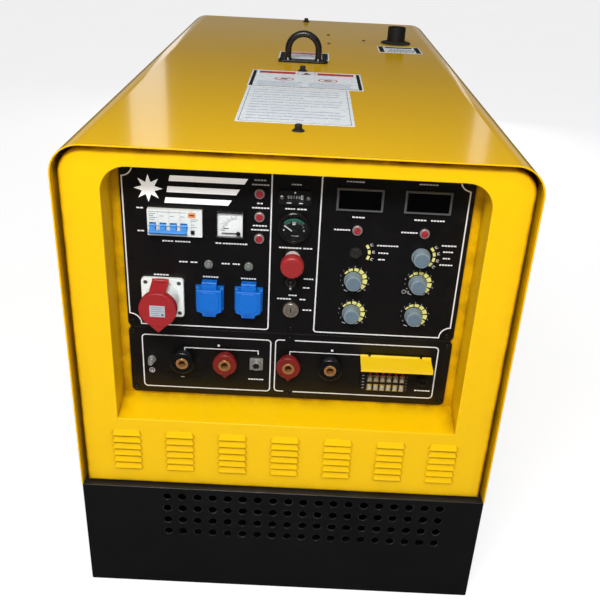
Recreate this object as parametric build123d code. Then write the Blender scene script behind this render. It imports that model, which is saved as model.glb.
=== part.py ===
from build123d import *
import math
import os

# Engine driven welder: sheet-metal canopy over a black tank base, with a
# recessed control panel on the front face.
# Millimetres. X right, Y towards the rear, Z up. Origin: centre of the base's
# underside. Front of the machine is at -Y.

os.makedirs("parts", exist_ok=True)

# ---------------------------------------------------------------------------
# Shared dimensions
# ---------------------------------------------------------------------------
WIDTH = 750.0         # canopy and base
LENGTH = 1480.0
ROOF_Z = 888.0
BASE_H = 240.0
ROOF_R = 50.0         # outside radius of the roof-to-side bends
SHEET = 2.5           # canopy, door and fascia sheet
BASE_SHEET = 3.0
HALF_W = WIDTH / 2
Y_FRONT = -LENGTH / 2
Y_REAR = LENGTH / 2
RUN = 0.05            # radial running clearance

# End panels (front fascia and rear panel)
END_SET = 12.0        # how far they sit inside the canopy's ends
END_HALF = 366.5
END_TOP = 879.5
END_CORNER_R = 44.0
END_DEPTH = 20.0
END_BEND_R = 7.0      # outside bend radius round the edge
Y_FASCIA = Y_FRONT + END_SET

# Recess in the fascia
RECESS_HALF = 302.0
RECESS_TOP = 852.0
RECESS_BOTTOM = 385.0  # bottom edge at the front
RECESS_R = 42.0        # the two top corners
SILL_RISE = 15.7       # the sill climbs this much towards the panel

# Control panels
Y_PANEL = -666.0      # front face
PANEL_T = 3.0
PANEL_HALF = 287.0
PANEL_LOW, PANEL_SPLIT, PANEL_HIGH = 405.0, 541.3, 843.0
PANEL_GAP = 0.7       # each panel's clearance to the split line
PANEL_CORNER_R = 9.0
Y_FLANGE = Y_PANEL + PANEL_T   # front of the flange that carries the panels

# Side door hinges
HINGE_X, HINGE_Y = 381.5, 481.0
HINGE_R = 5.5
HINGE_PIN_R = 3.0
HINGE_LEAF = 2.5
HINGE_Z = (350.0, 670.0)       # lower end of each hinge
HINGE_LEN = 60.0
KNUCKLE_LEN = 29.7

# Drive line
CRANK_Z = 400.0
FAN_Z = 540.0
CRANK_PULLEY_R = 55.0
FAN_PULLEY_R = 45.0
SHAFT_R = 22.0
FAN_SHAFT_R = 14.0
PORT_Y, PORT_Z = 180.0, 600.0  # intake and exhaust pipes at the engine

# Cross beams of the base, which carry the engine mounts
FRONT_BEAM_Y, REAR_BEAM_Y = -300.0, 250.0
MOUNT_X = 150.0
ALT_FOOT_Z = 275.0             # undersides of the feet
ENGINE_FOOT_Z = 318.0

# Control positions on the panels (x, z)
LAMPS = [(-60.0, 798.6), (-59.5, 758.8), (-59.2, 720.5), (102.2, 743.6), (213.1, 743.6)]
BUTTONS = [(-143.8, 669.5), (-76.0, 668.8)]
THREE_PHASE = (-223.4, 604.3)
BLUE_SOCKETS = [(-142.0, 604.5), (-75.0, 604.8)]
VOLTMETER = (-107.0, 744.8)
FUEL_GAUGE = (-2.3, 743.7)
HOUR_METER = (-2.3, 795.0)
STOP = (-2.2, 687.0)
IDLE = (-3.7, 643.4)
IGNITION = (-1.8, 590.2)
DISPLAYS = [(102.8, 796.4), (213.2, 797.0)]
SELECTOR_A = (102.7, 703.0)
SELECTOR_B = (211.6, 702.0)
POTS = {"current_knob_a": (102.0, 653.0), "arc_knob_a": (103.0, 590.0),
        "current_knob_b": (211.8, 652.2), "arc_knob_b": (211.3, 590.5)}
WELD_TERMINALS = [(-191.0, 480.0), (-115.2, 480.0), (-1.5, 480.0), (73.3, 480.0)]
REMOTE_A = (-59.6, 475.5)
REMOTE_B = (242.1, 456.0)
EARTH = (-248.2, 475.0)
PANEL_SCREWS = [(-278.0, 551.5), (-1.0, 551.5), (274.5, 551.5), (-274.0, 834.0), (274.0, 834.0),
                (-279.0, 531.0), (-1.0, 531.0), (279.0, 531.0),
                (-279.0, 413.5), (-1.0, 413.0), (279.0, 413.5)]
BREAKER_X = (-243.0, -153.0)
BREAKER_Z = (720.0, 766.0)

# Roof
ROOF_BOLTS = [(-3.0, -605.6), (-5.0, -98.0), (-8.0, 698.6)]
ROOF_RIVETS = [(58.5, 445.0), (58.0, 296.4), (155.0, 372.4)]
BAIL_X, BAIL_Y = -6.0, 8.0
BAIL_ROD_R = 7.5
BAIL_HALF = 35.25     # half the distance between the legs' axes
BAIL_TOP = 958.7
BAIL_SCREWS_X = (BAIL_X - 50.5, BAIL_X + 50.5)
BAIL_HOLE_R = 3.3
STACK_X, STACK_Y = 242.0, 357.0
STACK_R = 24.0
STACK_TOP = 930.0


# ---------------------------------------------------------------------------
# Helpers
# ---------------------------------------------------------------------------
def box(x0, x1, y0, y1, z0, z1):
    return Pos((x0 + x1) / 2, (y0 + y1) / 2, (z0 + z1) / 2) * Box(x1 - x0, y1 - y0, z1 - z0)


def cyl_x(y, z, x0, x1, r):
    return Pos((x0 + x1) / 2, y, z) * Rot(0, 90, 0) * Cylinder(r, x1 - x0)


def cyl_y(x, z, y0, y1, r):
    return Pos(x, (y0 + y1) / 2, z) * Rot(90, 0, 0) * Cylinder(r, y1 - y0)


def cyl_z(x, y, z0, z1, r):
    return Pos(x, y, (z0 + z1) / 2) * Cylinder(r, z1 - z0)


def extrude_y(sketch, y0, y1):
    """Run a sketch whose local axes are X and Z from y0 to y1."""
    plane = Plane(origin=(0, y1, 0), x_dir=(1, 0, 0), z_dir=(0, -1, 0))
    return extrude(plane * sketch, amount=y1 - y0)


def prism_x(points, x0, x1):
    """Polygon of (y, z) points run along X."""
    plane = Plane(origin=(x0, 0, 0), x_dir=(0, 1, 0), z_dir=(1, 0, 0))
    return extrude(plane * make_face(Polyline(*points, close=True)), amount=x1 - x0)


def rect(x0, x1, z0, z1, r=0.0):
    width, height = x1 - x0, z1 - z0
    shape = RectangleRounded(width, height, r) if r else Rectangle(width, height)
    return Pos((x0 + x1) / 2, (z0 + z1) / 2) * shape


def arch(half, z0, z1, r):
    """Rectangle whose two top corners are rounded."""
    shape = Pos(0, (z0 + z1) / 2) * Rectangle(2 * half, z1 - z0)
    return fillet(shape.vertices().sort_by(Axis.Y)[-2:], r)


def outline(x, z, points):
    """Closed face through points given relative to (x, z)."""
    return make_face(Polyline(*[(x + dx, z + dz) for dx, dz in points], close=True))


def hole(x, z, r):
    return Pos(x, z) * Circle(r)


# The panel_ helpers take y relative to the control panels' front face.
def panel_box(x0, x1, y0, y1, z0, z1):
    return box(x0, x1, Y_PANEL + y0, Y_PANEL + y1, z0, z1)


def panel_block(x, z, half_x, half_z, y0, y1):
    """Box centred on (x, z)."""
    return panel_box(x - half_x, x + half_x, y0, y1, z - half_z, z + half_z)


def panel_rod(x, z, y0, y1, r):
    return cyl_y(x, z, Y_PANEL + y0, Y_PANEL + y1, r)


def panel_rod_x(y, z, x0, x1, r):
    return cyl_x(Y_PANEL + y, z, x0, x1, r)


def panel_slab(sketch, y0, y1):
    return extrude_y(sketch, Y_PANEL + y0, Y_PANEL + y1)


def panel_prism(points, x0, x1):
    return prism_x([(Y_PANEL + y, z) for y, z in points], x0, x1)


def panel_hex(x, z, y0, y1, across):
    return panel_slab(Pos(x, z) * RegularPolygon(across / 2, 6, major_radius=False), y0, y1)


def panel_cone(x, z, y0, y1, front_r, rear_r):
    middle = Y_PANEL + (y0 + y1) / 2
    return Pos(x, middle, z) * Rot(-90, 0, 0) * Cone(front_r, rear_r, y1 - y0)


def panel_tilt(shape, y, z, angle):
    """Turn about the X-parallel axis through (y, z); positive lowers the front."""
    return Pos(0, Y_PANEL + y, z) * Rot(angle, 0, 0) * Pos(0, -(Y_PANEL + y), -z) * shape


def try_fillet(shape, edges, r):
    """Fillet, or leave the shape sharp where the kernel can't make the round."""
    try:
        return fillet(edges, r)
    except Exception:
        return shape


def round_along(shape, axis, r):
    return try_fillet(shape, shape.edges().filter_by(axis), r)


def round_circle(shape, axis, index, r):
    """Round one circular edge, picked by its rank along the axis."""
    return try_fillet(shape, shape.edges().filter_by(GeomType.CIRCLE).sort_by(axis)[index], r)


def round_front(shape, r):
    return round_circle(shape, Axis.Y, 0, r)


def round_top(shape, r):
    return round_circle(shape, Axis.Z, -1, r)


def main_solid(shape):
    return max(shape.solids(), key=lambda solid: solid.volume)


def save(name, *shapes):
    solids = [solid for shape in shapes for solid in shape.solids()]
    piece = solids[0] if len(solids) == 1 else Compound(children=solids)
    piece.label = name
    export_step(piece, f"parts/{name}.step")


def louvre(width, height, depth):
    """One pressed hood, open underneath. Local: X along, Z up, -Y outwards,
    sheet face at y=0, underside of the hood at z=0."""
    wall, lip = 1.3, 1.4

    def body():
        half = width / 2 - depth
        middle = prism_x([(0.0, 0.0), (-depth, 0.0), (-depth, lip), (0.0, height)], -half, half)
        ends = []
        for s in (-1, 1):
            taper = height - lip
            end = Pos(0, 0, lip / 2) * Cylinder(depth, lip)
            end += Pos(0, 0, lip + taper / 2) * Cone(depth, 0.02, taper)
            ends.append(Pos(s * half, 0, 0) * end
                        & box(-width, width, -depth - 1, 0, -1, height + 1))
        return middle + ends

    return body() - Pos(0, wall, -wall) * body()


def louvre_field(xs, zs, width, height, depth):
    """Hoods to add and slots to cut, for a sheet with its face at y=0."""
    hood = louvre(width, height, depth)
    hoods = [Pos(x, 0, z) * hood for x in xs for z in zs]
    half = width / 2 - depth * 0.75
    slots = [box(x - half, x + half, -0.5, SHEET + 0.5, z, z + height * 0.62)
             for x in xs for z in zs]
    return hoods, slots


# ---------------------------------------------------------------------------
# Base
# ---------------------------------------------------------------------------
BEAM_HALF, BEAM_H, BEAM_WALL = 30.0, 40.0, 4.0
LEDGE_W = 34.0
POCKET_Y = (-380.0, 380.0)
POCKET_HALF, POCKET_H = 93.0, 86.0
# Perforation in the front wall
PERF_COLS, PERF_ROWS = 19, 4
PERF_PITCH, PERF_R = 28.4, 7.9
PERF_X0, PERF_Z0 = -217.2, 135.0
# Floor bolt holes, spacing and radius
BASE_BOLT_X, BASE_BOLT_Y, BASE_BOLT_R = 600.0, 1300.0, 7.0


def inset_box(inset, z0, z1):
    """Box over the base's footprint, drawn in on all four sides."""
    return box(-HALF_W + inset, HALF_W - inset, Y_FRONT + inset, Y_REAR - inset, z0, z1)


def beam(y):
    end, reach, inner = HALF_W - 2, HALF_W + 5, BEAM_HALF - BEAM_WALL
    tube = box(-end, end, y - BEAM_HALF, y + BEAM_HALF, BASE_H - BEAM_H, BASE_H)
    return tube - box(-reach, reach, y - inner, y + inner,
                      BASE_H - BEAM_H + BEAM_WALL, BASE_H - BEAM_WALL)


def base_frame():
    """Open-topped tray with a ledge, cross beams, battery shelf and fork pockets."""
    base = inset_box(0, 0, BASE_H)
    base = round_along(base, Axis.Z, 4.0)
    base = try_fillet(base, base.edges().group_by(Axis.Z)[-1], 2.0)
    base -= inset_box(BASE_SHEET, BASE_SHEET, BASE_H + 1)
    ledge = inset_box(BASE_SHEET, BASE_H - 3, BASE_H)
    ledge -= inset_box(LEDGE_W, BASE_H - 4, BASE_H + 1)
    shelf = box(160, HALF_W - 2, -500, -325, BASE_H - 4, BASE_H)
    beam_ys = (FRONT_BEAM_Y, REAR_BEAM_Y)
    base = base + [ledge, shelf] + [beam(y) for y in beam_ys]
    # the beams' hollows must not open through the side walls
    for y in beam_ys:
        for x0 in (-HALF_W, HALF_W - BASE_SHEET):
            base += box(x0, x0 + BASE_SHEET, y - 27, y + 27, BASE_H - 37, BASE_H - 3)
    for y in POCKET_Y:
        base += box(-HALF_W, HALF_W, y - POCKET_HALF, y + POCKET_HALF, 0, POCKET_H)
        inner = POCKET_HALF - BASE_SHEET
        base -= box(-HALF_W - 1, HALF_W + 1, y - inner, y + inner,
                    BASE_SHEET, POCKET_H - BASE_SHEET)
    holes = Sketch() + [hole(PERF_X0 + i * PERF_PITCH, PERF_Z0 + j * PERF_PITCH, PERF_R)
                        for i in range(PERF_COLS) for j in range(PERF_ROWS)]
    base -= extrude_y(holes, Y_FRONT - 1, Y_FRONT + BASE_SHEET + 1)
    for sx in (-1, 1):
        for sy in (-1, 1):
            base -= cyl_z(sx * BASE_BOLT_X / 2, sy * BASE_BOLT_Y / 2,
                          -1, BASE_SHEET + 1, BASE_BOLT_R)
    return main_solid(base)


save("base_frame", base_frame())

# ---------------------------------------------------------------------------
# Canopy, hinges and side doors
# ---------------------------------------------------------------------------
DOOR_Y0, DOOR_Y1 = -420.0, 480.0       # opening in the canopy
DOOR_Z0, DOOR_Z1 = 290.0, 790.0
DOOR_GAP = 3.0
DOOR_DEPTH = 15.0
DOOR_LOUVRE_Y = (-240.0, -85.0, 70.0, 225.0)
DOOR_LOUVRE_Z = [345.0 + 26.0 * k for k in range(14)]
DOOR_STIFFENER_Y = (-162.5, 147.5)
LATCH_Y, LATCH_Z, LATCH_R = -375.0, 540.0, 8.0


def on_side(shape, side):
    """A shape built on the right, moved to the left when side is -1."""
    return shape if side > 0 else mirror(shape, Plane.YZ)


def knuckle(side, z0, z1, direction):
    """Hinge leaf, web and barrel. Direction +1: canopy, behind the axis; -1: door."""
    leaf_y = sorted((HINGE_Y + direction * 0.6, HINGE_Y + direction * 26.0))
    web_y = sorted((HINGE_Y, HINGE_Y + direction * 5.5))
    shape = box(HALF_W, HALF_W + HINGE_LEAF, *leaf_y, z0, z1)
    shape = shape + box(HALF_W, HINGE_X, *web_y, z0, z1) + cyl_z(HINGE_X, HINGE_Y, z0, z1, HINGE_R)
    shape -= cyl_z(HINGE_X, HINGE_Y, z0 - 1, z1 + 1, HINGE_PIN_R + RUN)
    return on_side(shape, side)


def canopy_shell():
    """One sheet folded over the top and down both sides."""
    canopy = extrude_y(arch(HALF_W, BASE_H, ROOF_Z, ROOF_R), Y_FRONT, Y_REAR)
    canopy -= extrude_y(arch(HALF_W - SHEET, BASE_H - 10, ROOF_Z - SHEET, ROOF_R - SHEET),
                        Y_FRONT - 1, Y_REAR + 1)
    canopy -= box(-HALF_W - 5, HALF_W + 5, DOOR_Y0, DOOR_Y1, DOOR_Z0, DOOR_Z1)
    roof_holes = [(STACK_X, STACK_Y, 30.0)]
    roof_holes += [(x, y, 5.2) for x, y in ROOF_BOLTS]
    roof_holes += [(x, y, 2.4) for x, y in ROOF_RIVETS]
    roof_holes += [(x, BAIL_Y, BAIL_HOLE_R) for x in BAIL_SCREWS_X]
    for x, y, r in roof_holes:
        canopy -= cyl_z(x, y, ROOF_Z - 10, ROOF_Z + 10, r)
    for side in (-1, 1):
        for z in HINGE_Z:
            canopy += knuckle(side, z, z + KNUCKLE_LEN, 1)
    return main_solid(canopy)


def hinge_pin(side, z):
    pin = cyl_z(HINGE_X, HINGE_Y, z - 1.5, z + 62.0, HINGE_PIN_R)
    pin += cyl_z(HINGE_X, HINGE_Y, z + 60.3, z + 63.3, 5.0)
    return on_side(pin, side)


def side_door(side):
    """Shallow louvred pan, hinged at its rear edge. Built facing the front, then turned:
    local x runs to the rear on the right side, to the front on the left."""
    y0, y1 = DOOR_Y0 + DOOR_GAP, DOOR_Y1 - DOOR_GAP
    z0, z1 = DOOR_Z0 + DOOR_GAP, DOOR_Z1 - DOOR_GAP
    x0, x1 = (y0, y1) if side > 0 else (-y1, -y0)
    face = rect(x0, x1, z0, z1, 6.0)
    skin = extrude_y(face, 0, SHEET)
    lip = extrude_y(face - rect(x0 + 2, x1 - 2, z0 + 2, z1 - 2, 4.0), 0, DOOR_DEPTH)
    hoods, slots = louvre_field([side * y for y in DOOR_LOUVRE_Y], DOOR_LOUVRE_Z,
                                width=120.0, height=17.0, depth=7.0)
    stiffeners = [box(side * y - 8, side * y + 8, SHEET, 12.0, z0 + 2, z1 - 2)
                  for y in DOOR_STIFFENER_Y]
    door = (skin - slots) + [lip] + stiffeners + hoods
    door -= cyl_y(side * LATCH_Y, LATCH_Z, -5, 30, LATCH_R + RUN)
    door = Pos(side * HALF_W, 0, 0) * Rot(0, 0, 90 * side) * door
    for z in HINGE_Z:
        door += knuckle(side, z + HINGE_LEN - KNUCKLE_LEN, z + HINGE_LEN, -1)
    return main_solid(door)


def door_latch(side):
    """Escutcheon, hanging lever, shaft through the door and an inner cam."""
    escutcheon = cyl_x(LATCH_Y, LATCH_Z, HALF_W + 0.3, HALF_W + 3.5, 17.0)
    escutcheon = try_fillet(escutcheon, escutcheon.edges().sort_by(Axis.X)[-1], 1.5)
    lever = box(HALF_W + 3.0, HALF_W + 10.0, LATCH_Y - 8, LATCH_Y + 8, LATCH_Z - 60, LATCH_Z + 14)
    lever = round_along(lever, Axis.X, 6.0)
    shaft = cyl_x(LATCH_Y, LATCH_Z, HALF_W - 24.0, HALF_W + 4.0, LATCH_R)
    cam = box(HALF_W - 24.0, HALF_W - 19.0, LATCH_Y - 11, LATCH_Y + 11, LATCH_Z - 58, LATCH_Z + 11)
    return on_side(main_solid(escutcheon + lever + shaft + cam), side)


save("canopy_shell", canopy_shell())
save("hinge_pins", *[hinge_pin(side, z) for side in (-1, 1) for z in HINGE_Z])
for side, name in ((-1, "left_door"), (1, "right_door")):
    save(name, side_door(side))
    save(f"{name}_latch", door_latch(side))

# ---------------------------------------------------------------------------
# Front fascia and rear panel
# ---------------------------------------------------------------------------
FASCIA_LOUVRE_X = [-1.0 + 95.6 * k for k in range(-3, 4)]
FASCIA_LOUVRE_Z = [277.0 + 14.7 * k for k in range(6)]
REAR_LOUVRE_X = [-240.0, -80.0, 80.0, 240.0]
REAR_LOUVRE_Z = [310.0 + 27.0 * k for k in range(18)]


def end_pan(y):
    """Sheet pan: flat face at y with its edge rolled back towards +Y."""
    outer = extrude_y(arch(END_HALF, BASE_H, END_TOP, END_CORNER_R), y, y + END_DEPTH)
    outer = fillet(outer.faces().sort_by(Axis.Y)[0].edges(), END_BEND_R)
    inner = extrude_y(arch(END_HALF - SHEET, BASE_H + SHEET, END_TOP - SHEET,
                           END_CORNER_R - SHEET), y + SHEET, y + END_DEPTH + 30)
    inner = fillet(inner.faces().sort_by(Axis.Y)[0].edges(), END_BEND_R - SHEET)
    return outer - inner


def below_sill(dz):
    """Everything under the sloping sill, offset by dz, with 20 mm to spare all round."""
    spare = 20
    drop = spare * SILL_RISE / (Y_FLANGE - Y_FASCIA)
    y0, y1, bottom = Y_FASCIA - spare, Y_FLANGE + spare, RECESS_BOTTOM - 60
    return prism_x([(y0, bottom), (y0, RECESS_BOTTOM + dz - drop),
                    (y1, RECESS_BOTTOM + SILL_RISE + dz + drop), (y1, bottom)],
                   -RECESS_HALF - spare, RECESS_HALF + spare)


def on_recess_rim(edge):
    """True for edges in the fascia's front face, round the recess opening."""
    low, high = edge.bounding_box().min, edge.bounding_box().max
    return (abs(low.Y - Y_FASCIA) < 0.01 and abs(high.Y - Y_FASCIA) < 0.01
            and low.X > -RECESS_HALF - 0.1 and high.X < RECESS_HALF + 0.1
            and low.Z > RECESS_BOTTOM - 0.1)


def front_fascia():
    """Pan with a louvred lower part and a tub whose back flange carries the panels."""
    tub_outer = extrude_y(arch(RECESS_HALF + SHEET, RECESS_BOTTOM - 10, RECESS_TOP + SHEET,
                               RECESS_R + SHEET), Y_FASCIA, Y_FLANGE + SHEET) - below_sill(-SHEET)
    tub_inner = extrude_y(arch(RECESS_HALF, RECESS_BOTTOM - 10, RECESS_TOP, RECESS_R),
                          Y_FASCIA - 5, Y_FLANGE) - below_sill(0)
    windows = [extrude_y(rect(-273, 273, z0, z1, 4.0), Y_FLANGE - 1, Y_FLANGE + SHEET + 1)
               for z0, z1 in ((556, 829), (416, 527))]
    fascia = (end_pan(Y_FASCIA) + tub_outer) - [tub_inner, *windows]
    fascia = try_fillet(fascia, [e for e in fascia.edges() if on_recess_rim(e)], 2.2)
    hoods, slots = louvre_field(FASCIA_LOUVRE_X, FASCIA_LOUVRE_Z,
                                width=53.0, height=11.5, depth=4.6)
    to_face = Pos(0, Y_FASCIA, 0)
    fascia = (fascia - [to_face * s for s in slots]) + [to_face * h for h in hoods]
    for x, z in PANEL_SCREWS:
        fascia -= cyl_y(x, z, Y_FLANGE - 1, Y_FLANGE + SHEET + 1, 2.2)
    return main_solid(fascia)


def rear_panel():
    """Radiator outlet panel, built facing the front and turned round."""
    hoods, slots = louvre_field(REAR_LOUVRE_X, REAR_LOUVRE_Z, width=136.0, height=18.0, depth=7.5)
    panel = (end_pan(0.0) - slots) + hoods
    return main_solid(Pos(0, Y_REAR - END_SET, 0) * Rot(0, 0, 180) * panel)


save("front_fascia", front_fascia())
save("rear_panel", rear_panel())

# ---------------------------------------------------------------------------
# Lifting bail and roof fasteners
# ---------------------------------------------------------------------------
BAIL_FOOT_Z = ROOF_Z + 2       # the legs start inside the base plate


def lifting_bail():
    """U-shaped rod on a rounded base plate."""
    left, right = BAIL_X - BAIL_HALF, BAIL_X + BAIL_HALF
    bend_z = BAIL_TOP - BAIL_ROD_R - BAIL_HALF
    foot, bend = (left, BAIL_Y, BAIL_FOOT_Z), (left, BAIL_Y, bend_z)
    far_foot, far_bend = (right, BAIL_Y, BAIL_FOOT_Z), (right, BAIL_Y, bend_z)
    crest = (BAIL_X, BAIL_Y, bend_z + BAIL_HALF)
    path = Wire([Line(foot, bend), ThreePointArc(bend, crest, far_bend), Line(far_bend, far_foot)])
    rod = sweep(Plane(origin=foot, z_dir=(0, 0, 1)) * Circle(BAIL_ROD_R), path=path)
    plate = box(BAIL_X - 58, BAIL_X + 58, BAIL_Y - 14, BAIL_Y + 14, ROOF_Z, ROOF_Z + 5)
    plate = round_along(plate, Axis.Z, 12.0)
    plate = try_fillet(plate, plate.edges().group_by(Axis.Z)[-1], 1.2)
    bail = plate + rod
    for x in (left, right):
        bail += Pos(x, BAIL_Y, ROOF_Z + 7.5) * Cone(BAIL_ROD_R + 2.0, BAIL_ROD_R, 5.0)
    for x in BAIL_SCREWS_X:
        bail -= cyl_z(x, BAIL_Y, ROOF_Z - 1, ROOF_Z + 8, BAIL_HOLE_R)
    return main_solid(bail)


def roof_bolt(x, y):
    brim = Pos(x, y, ROOF_Z + 1.3) * Cone(10.8, 8.6, 2.2)
    crown = round_top(cyl_z(x, y, ROOF_Z + 1.0, ROOF_Z + 11.0, 6.3), 1.8)
    shank = cyl_z(x, y, ROOF_Z - 16, ROOF_Z + 1, 5.0)
    return brim + crown + shank + cyl_z(x, y, ROOF_Z, ROOF_Z + 0.3, 10.8)


def roof_rivet(x, y):
    return cyl_z(x, y, ROOF_Z, ROOF_Z + 1.6, 4.5) + cyl_z(x, y, ROOF_Z - 6, ROOF_Z + 1, 2.3)


def bail_screw(x):
    head = round_top(cyl_z(x, BAIL_Y, ROOF_Z + 5.1, ROOF_Z + 8.6, 5.0), 1.8)
    return head + cyl_z(x, BAIL_Y, ROOF_Z - 18, ROOF_Z + 6, 3.2)


save("lifting_bail", lifting_bail())
save("roof_bolts", *[roof_bolt(*at) for at in ROOF_BOLTS],
     *[roof_rivet(*at) for at in ROOF_RIVETS], *[bail_screw(x) for x in BAIL_SCREWS_X])

# ---------------------------------------------------------------------------
# Control panels, terminal cover and their fasteners
# ---------------------------------------------------------------------------
COVER_LUG_X = (140.0, 232.0)   # left faces of the hinge lugs
COVER_LUG_W = 4.0
COVER_Y, COVER_Z = -4.2, 505.0  # hinge axis
COVER_X = (126.0, 252.0)
COVER_PIN_R = 1.5


def upper_panel():
    sheet = rect(-PANEL_HALF, PANEL_HALF, PANEL_SPLIT + PANEL_GAP, PANEL_HIGH, PANEL_CORNER_R)
    gap = 0.4
    hour_x, hour_z = HOUR_METER
    cuts = [rect(BREAKER_X[0] - gap, BREAKER_X[1] + gap, BREAKER_Z[0] - gap, BREAKER_Z[1] + gap),
            hole(*VOLTMETER, 19.0), hole(*FUEL_GAUGE, 24.2), hole(*THREE_PHASE, 30.0),
            rect(hour_x - 18.5, hour_x + 18.5, hour_z - 10, hour_z + 10),
            hole(*STOP, 9.2), hole(*IDLE, 6.1), hole(*IGNITION, 10.2)]
    cuts += [hole(*at, 6.2) for at in LAMPS]
    cuts += [hole(*at, 5.8) for at in BUTTONS]
    cuts += [hole(*at, 20.5) for at in BLUE_SOCKETS]
    cuts += [rect(x - 34, x + 34, z - 15.5, z + 15.5) for x, z in DISPLAYS]
    cuts += [hole(*at, 5.0) for at in (SELECTOR_A, SELECTOR_B, *POTS.values())]
    cuts += [hole(x, z, 2.4) for x, z in PANEL_SCREWS if z > PANEL_SPLIT]
    for cut in cuts:
        sheet -= cut
    return main_solid(panel_slab(sheet, 0, PANEL_T))


def lower_panel():
    """Socket panel with two hinge lugs for the terminal cover."""
    sheet = rect(-PANEL_HALF, PANEL_HALF, PANEL_LOW, PANEL_SPLIT - PANEL_GAP, PANEL_CORNER_R)
    cuts = [hole(*at, 15.2) for at in WELD_TERMINALS]
    cuts += [hole(*REMOTE_A, 8.2), hole(*REMOTE_B, 8.2), hole(*EARTH, 4.2)]
    cuts += [hole(x, z, 2.4) for x, z in PANEL_SCREWS if z < PANEL_SPLIT]
    for cut in cuts:
        sheet -= cut
    panel = panel_slab(sheet, 0, PANEL_T)
    lug_r = 3.4
    for x in COVER_LUG_X:
        end = x + COVER_LUG_W
        lug = panel_box(x, end, COVER_Y, 0.5, COVER_Z - lug_r, COVER_Z + lug_r)
        lug += panel_rod_x(COVER_Y, COVER_Z, x, end, lug_r)
        panel += lug - panel_rod_x(COVER_Y, COVER_Z, x - 1, end + 1, COVER_PIN_R + RUN)
    return main_solid(panel)


def terminal_cover():
    """Cover over the terminal strip, hinged at the panel and held open."""
    x0, x1 = COVER_X
    z = COVER_Z
    cover = panel_box(x0, x1, -41.5, -5.0, z - 2.0, z + 0.2)
    cover += panel_box(x0, x1, -41.5, -39.3, z - 6.5, z)
    cheek = [(-5.0, z), (-41.0, z), (-41.0, z - 6.3), (-9.0, z - 4.6)]
    for x in (x0, x1 - 2.0):
        cover += panel_prism(cheek, x, x + 2.0)
    cover += panel_rod_x(COVER_Y, z, x0, x1, 3.2)
    for x in COVER_LUG_X:
        cover -= panel_box(x - 0.35, x + COVER_LUG_W + 0.35, COVER_Y - 3.75, 0, z - 5, z + 5)
    for x in COVER_LUG_X:
        cover += panel_rod_x(COVER_Y, z, x - 1.5, x + COVER_LUG_W + 1.5, COVER_PIN_R)
    # the free edge droops a few degrees about the hinge
    return main_solid(panel_tilt(cover, COVER_Y, z, 5))


def panel_screw(x, z):
    """Domed cross-slotted screw."""
    screw = round_front(panel_rod(x, z, -2.6, 0, 4.6), 1.6)
    screw -= panel_block(x, z, 2.4, 0.6, -3.0, -1.2) + panel_block(x, z, 0.6, 2.4, -3.0, -1.2)
    return main_solid(screw + panel_rod(x, z, -0.5, 9.0, 2.1))


def earth_stud():
    """Stud with a nut behind, and a washer and nut in front."""
    stud = panel_rod(*EARTH, -17.0, 14.0, 4.0)
    stud += panel_hex(*EARTH, PANEL_T, PANEL_T + 6, 13.0)
    stud += panel_rod(*EARTH, -1.6, 0, 7.2) + panel_hex(*EARTH, -8.0, -1.6, 11.0)
    return main_solid(stud)


save("upper_panel", upper_panel())
save("lower_panel", lower_panel())
save("terminal_cover", terminal_cover())
save("panel_fasteners", *[panel_screw(*at) for at in PANEL_SCREWS], earth_stud())

# ---------------------------------------------------------------------------
# Breaker: body, ganged toggle, test button
# ---------------------------------------------------------------------------
POLE_PITCH = 18.0
TOGGLE_Y, TOGGLE_Z, TOGGLE_PIN_R = -6.0, 737.0, 2.0
TOGGLE_SLOTS = [(BREAKER_X[0] + 3.0 + 17.2 * i, BREAKER_X[0] + 14.2 + 17.2 * i) for i in range(4)]
TOGGLE_X0, TOGGLE_X1 = TOGGLE_SLOTS[0][0], TOGGLE_SLOTS[-1][1]
TEST_BUTTON = (-168.5, 728.3)
TEST_BUTTON_HALF = 3.0


def breaker_body():
    body = round_along(panel_box(*BREAKER_X, -8.0, 8.0, *BREAKER_Z), Axis.Y, 1.2)
    body += panel_box(*BREAKER_X, PANEL_T + 0.5, 58.0, 700.0, 786.0)
    for x0, x1 in TOGGLE_SLOTS:
        body -= panel_box(x0, x1, -9.0, 5.0, TOGGLE_Z - 6.2, TOGGLE_Z + 6.2)
    for i in range(1, 5):
        x = BREAKER_X[0] + POLE_PITCH * i
        body -= panel_box(x - 0.25, x + 0.25, -9.0, -7.2, BREAKER_Z[0] - 1, BREAKER_Z[1] + 1)
    body -= panel_rod_x(TOGGLE_Y, TOGGLE_Z, TOGGLE_X0 - 1.6, TOGGLE_X1 + 1.6, TOGGLE_PIN_R + RUN)
    half = TEST_BUTTON_HALF + 0.1
    body -= panel_block(*TEST_BUTTON, half, half, -9.0, -2.0)
    return main_solid(body)


def breaker_toggle():
    """Four levers joined by a bar, swung down about their common pin."""
    y, z = TOGGLE_Y, TOGGLE_Z
    toggle = panel_rod_x(y, z, TOGGLE_X0 - 1.5, TOGGLE_X1 + 1.5, TOGGLE_PIN_R)
    for x0, x1 in TOGGLE_SLOTS:
        toggle += panel_rod_x(y, z, x0 + 0.5, x1 - 0.5, 4.4)
        toggle += panel_box(x0 + 0.8, x1 - 0.8, y - 14.0, y, z - 2.6, z + 2.6)
    bar = panel_box(TOGGLE_X0, TOGGLE_X1, y - 14.8, y - 9.0, z - 3.0, z + 3.0)
    toggle += round_along(bar, Axis.X, 1.2)
    return main_solid(panel_tilt(toggle, y, z, 44))


def breaker_test_button():
    block = panel_block(*TEST_BUTTON, TEST_BUTTON_HALF, TEST_BUTTON_HALF, -9.6, -4.0)
    return round_along(block, Axis.Y, 1.0)


save("breaker_body", breaker_body())
save("breaker_toggle", breaker_toggle())
save("breaker_test_button", breaker_test_button())

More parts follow.
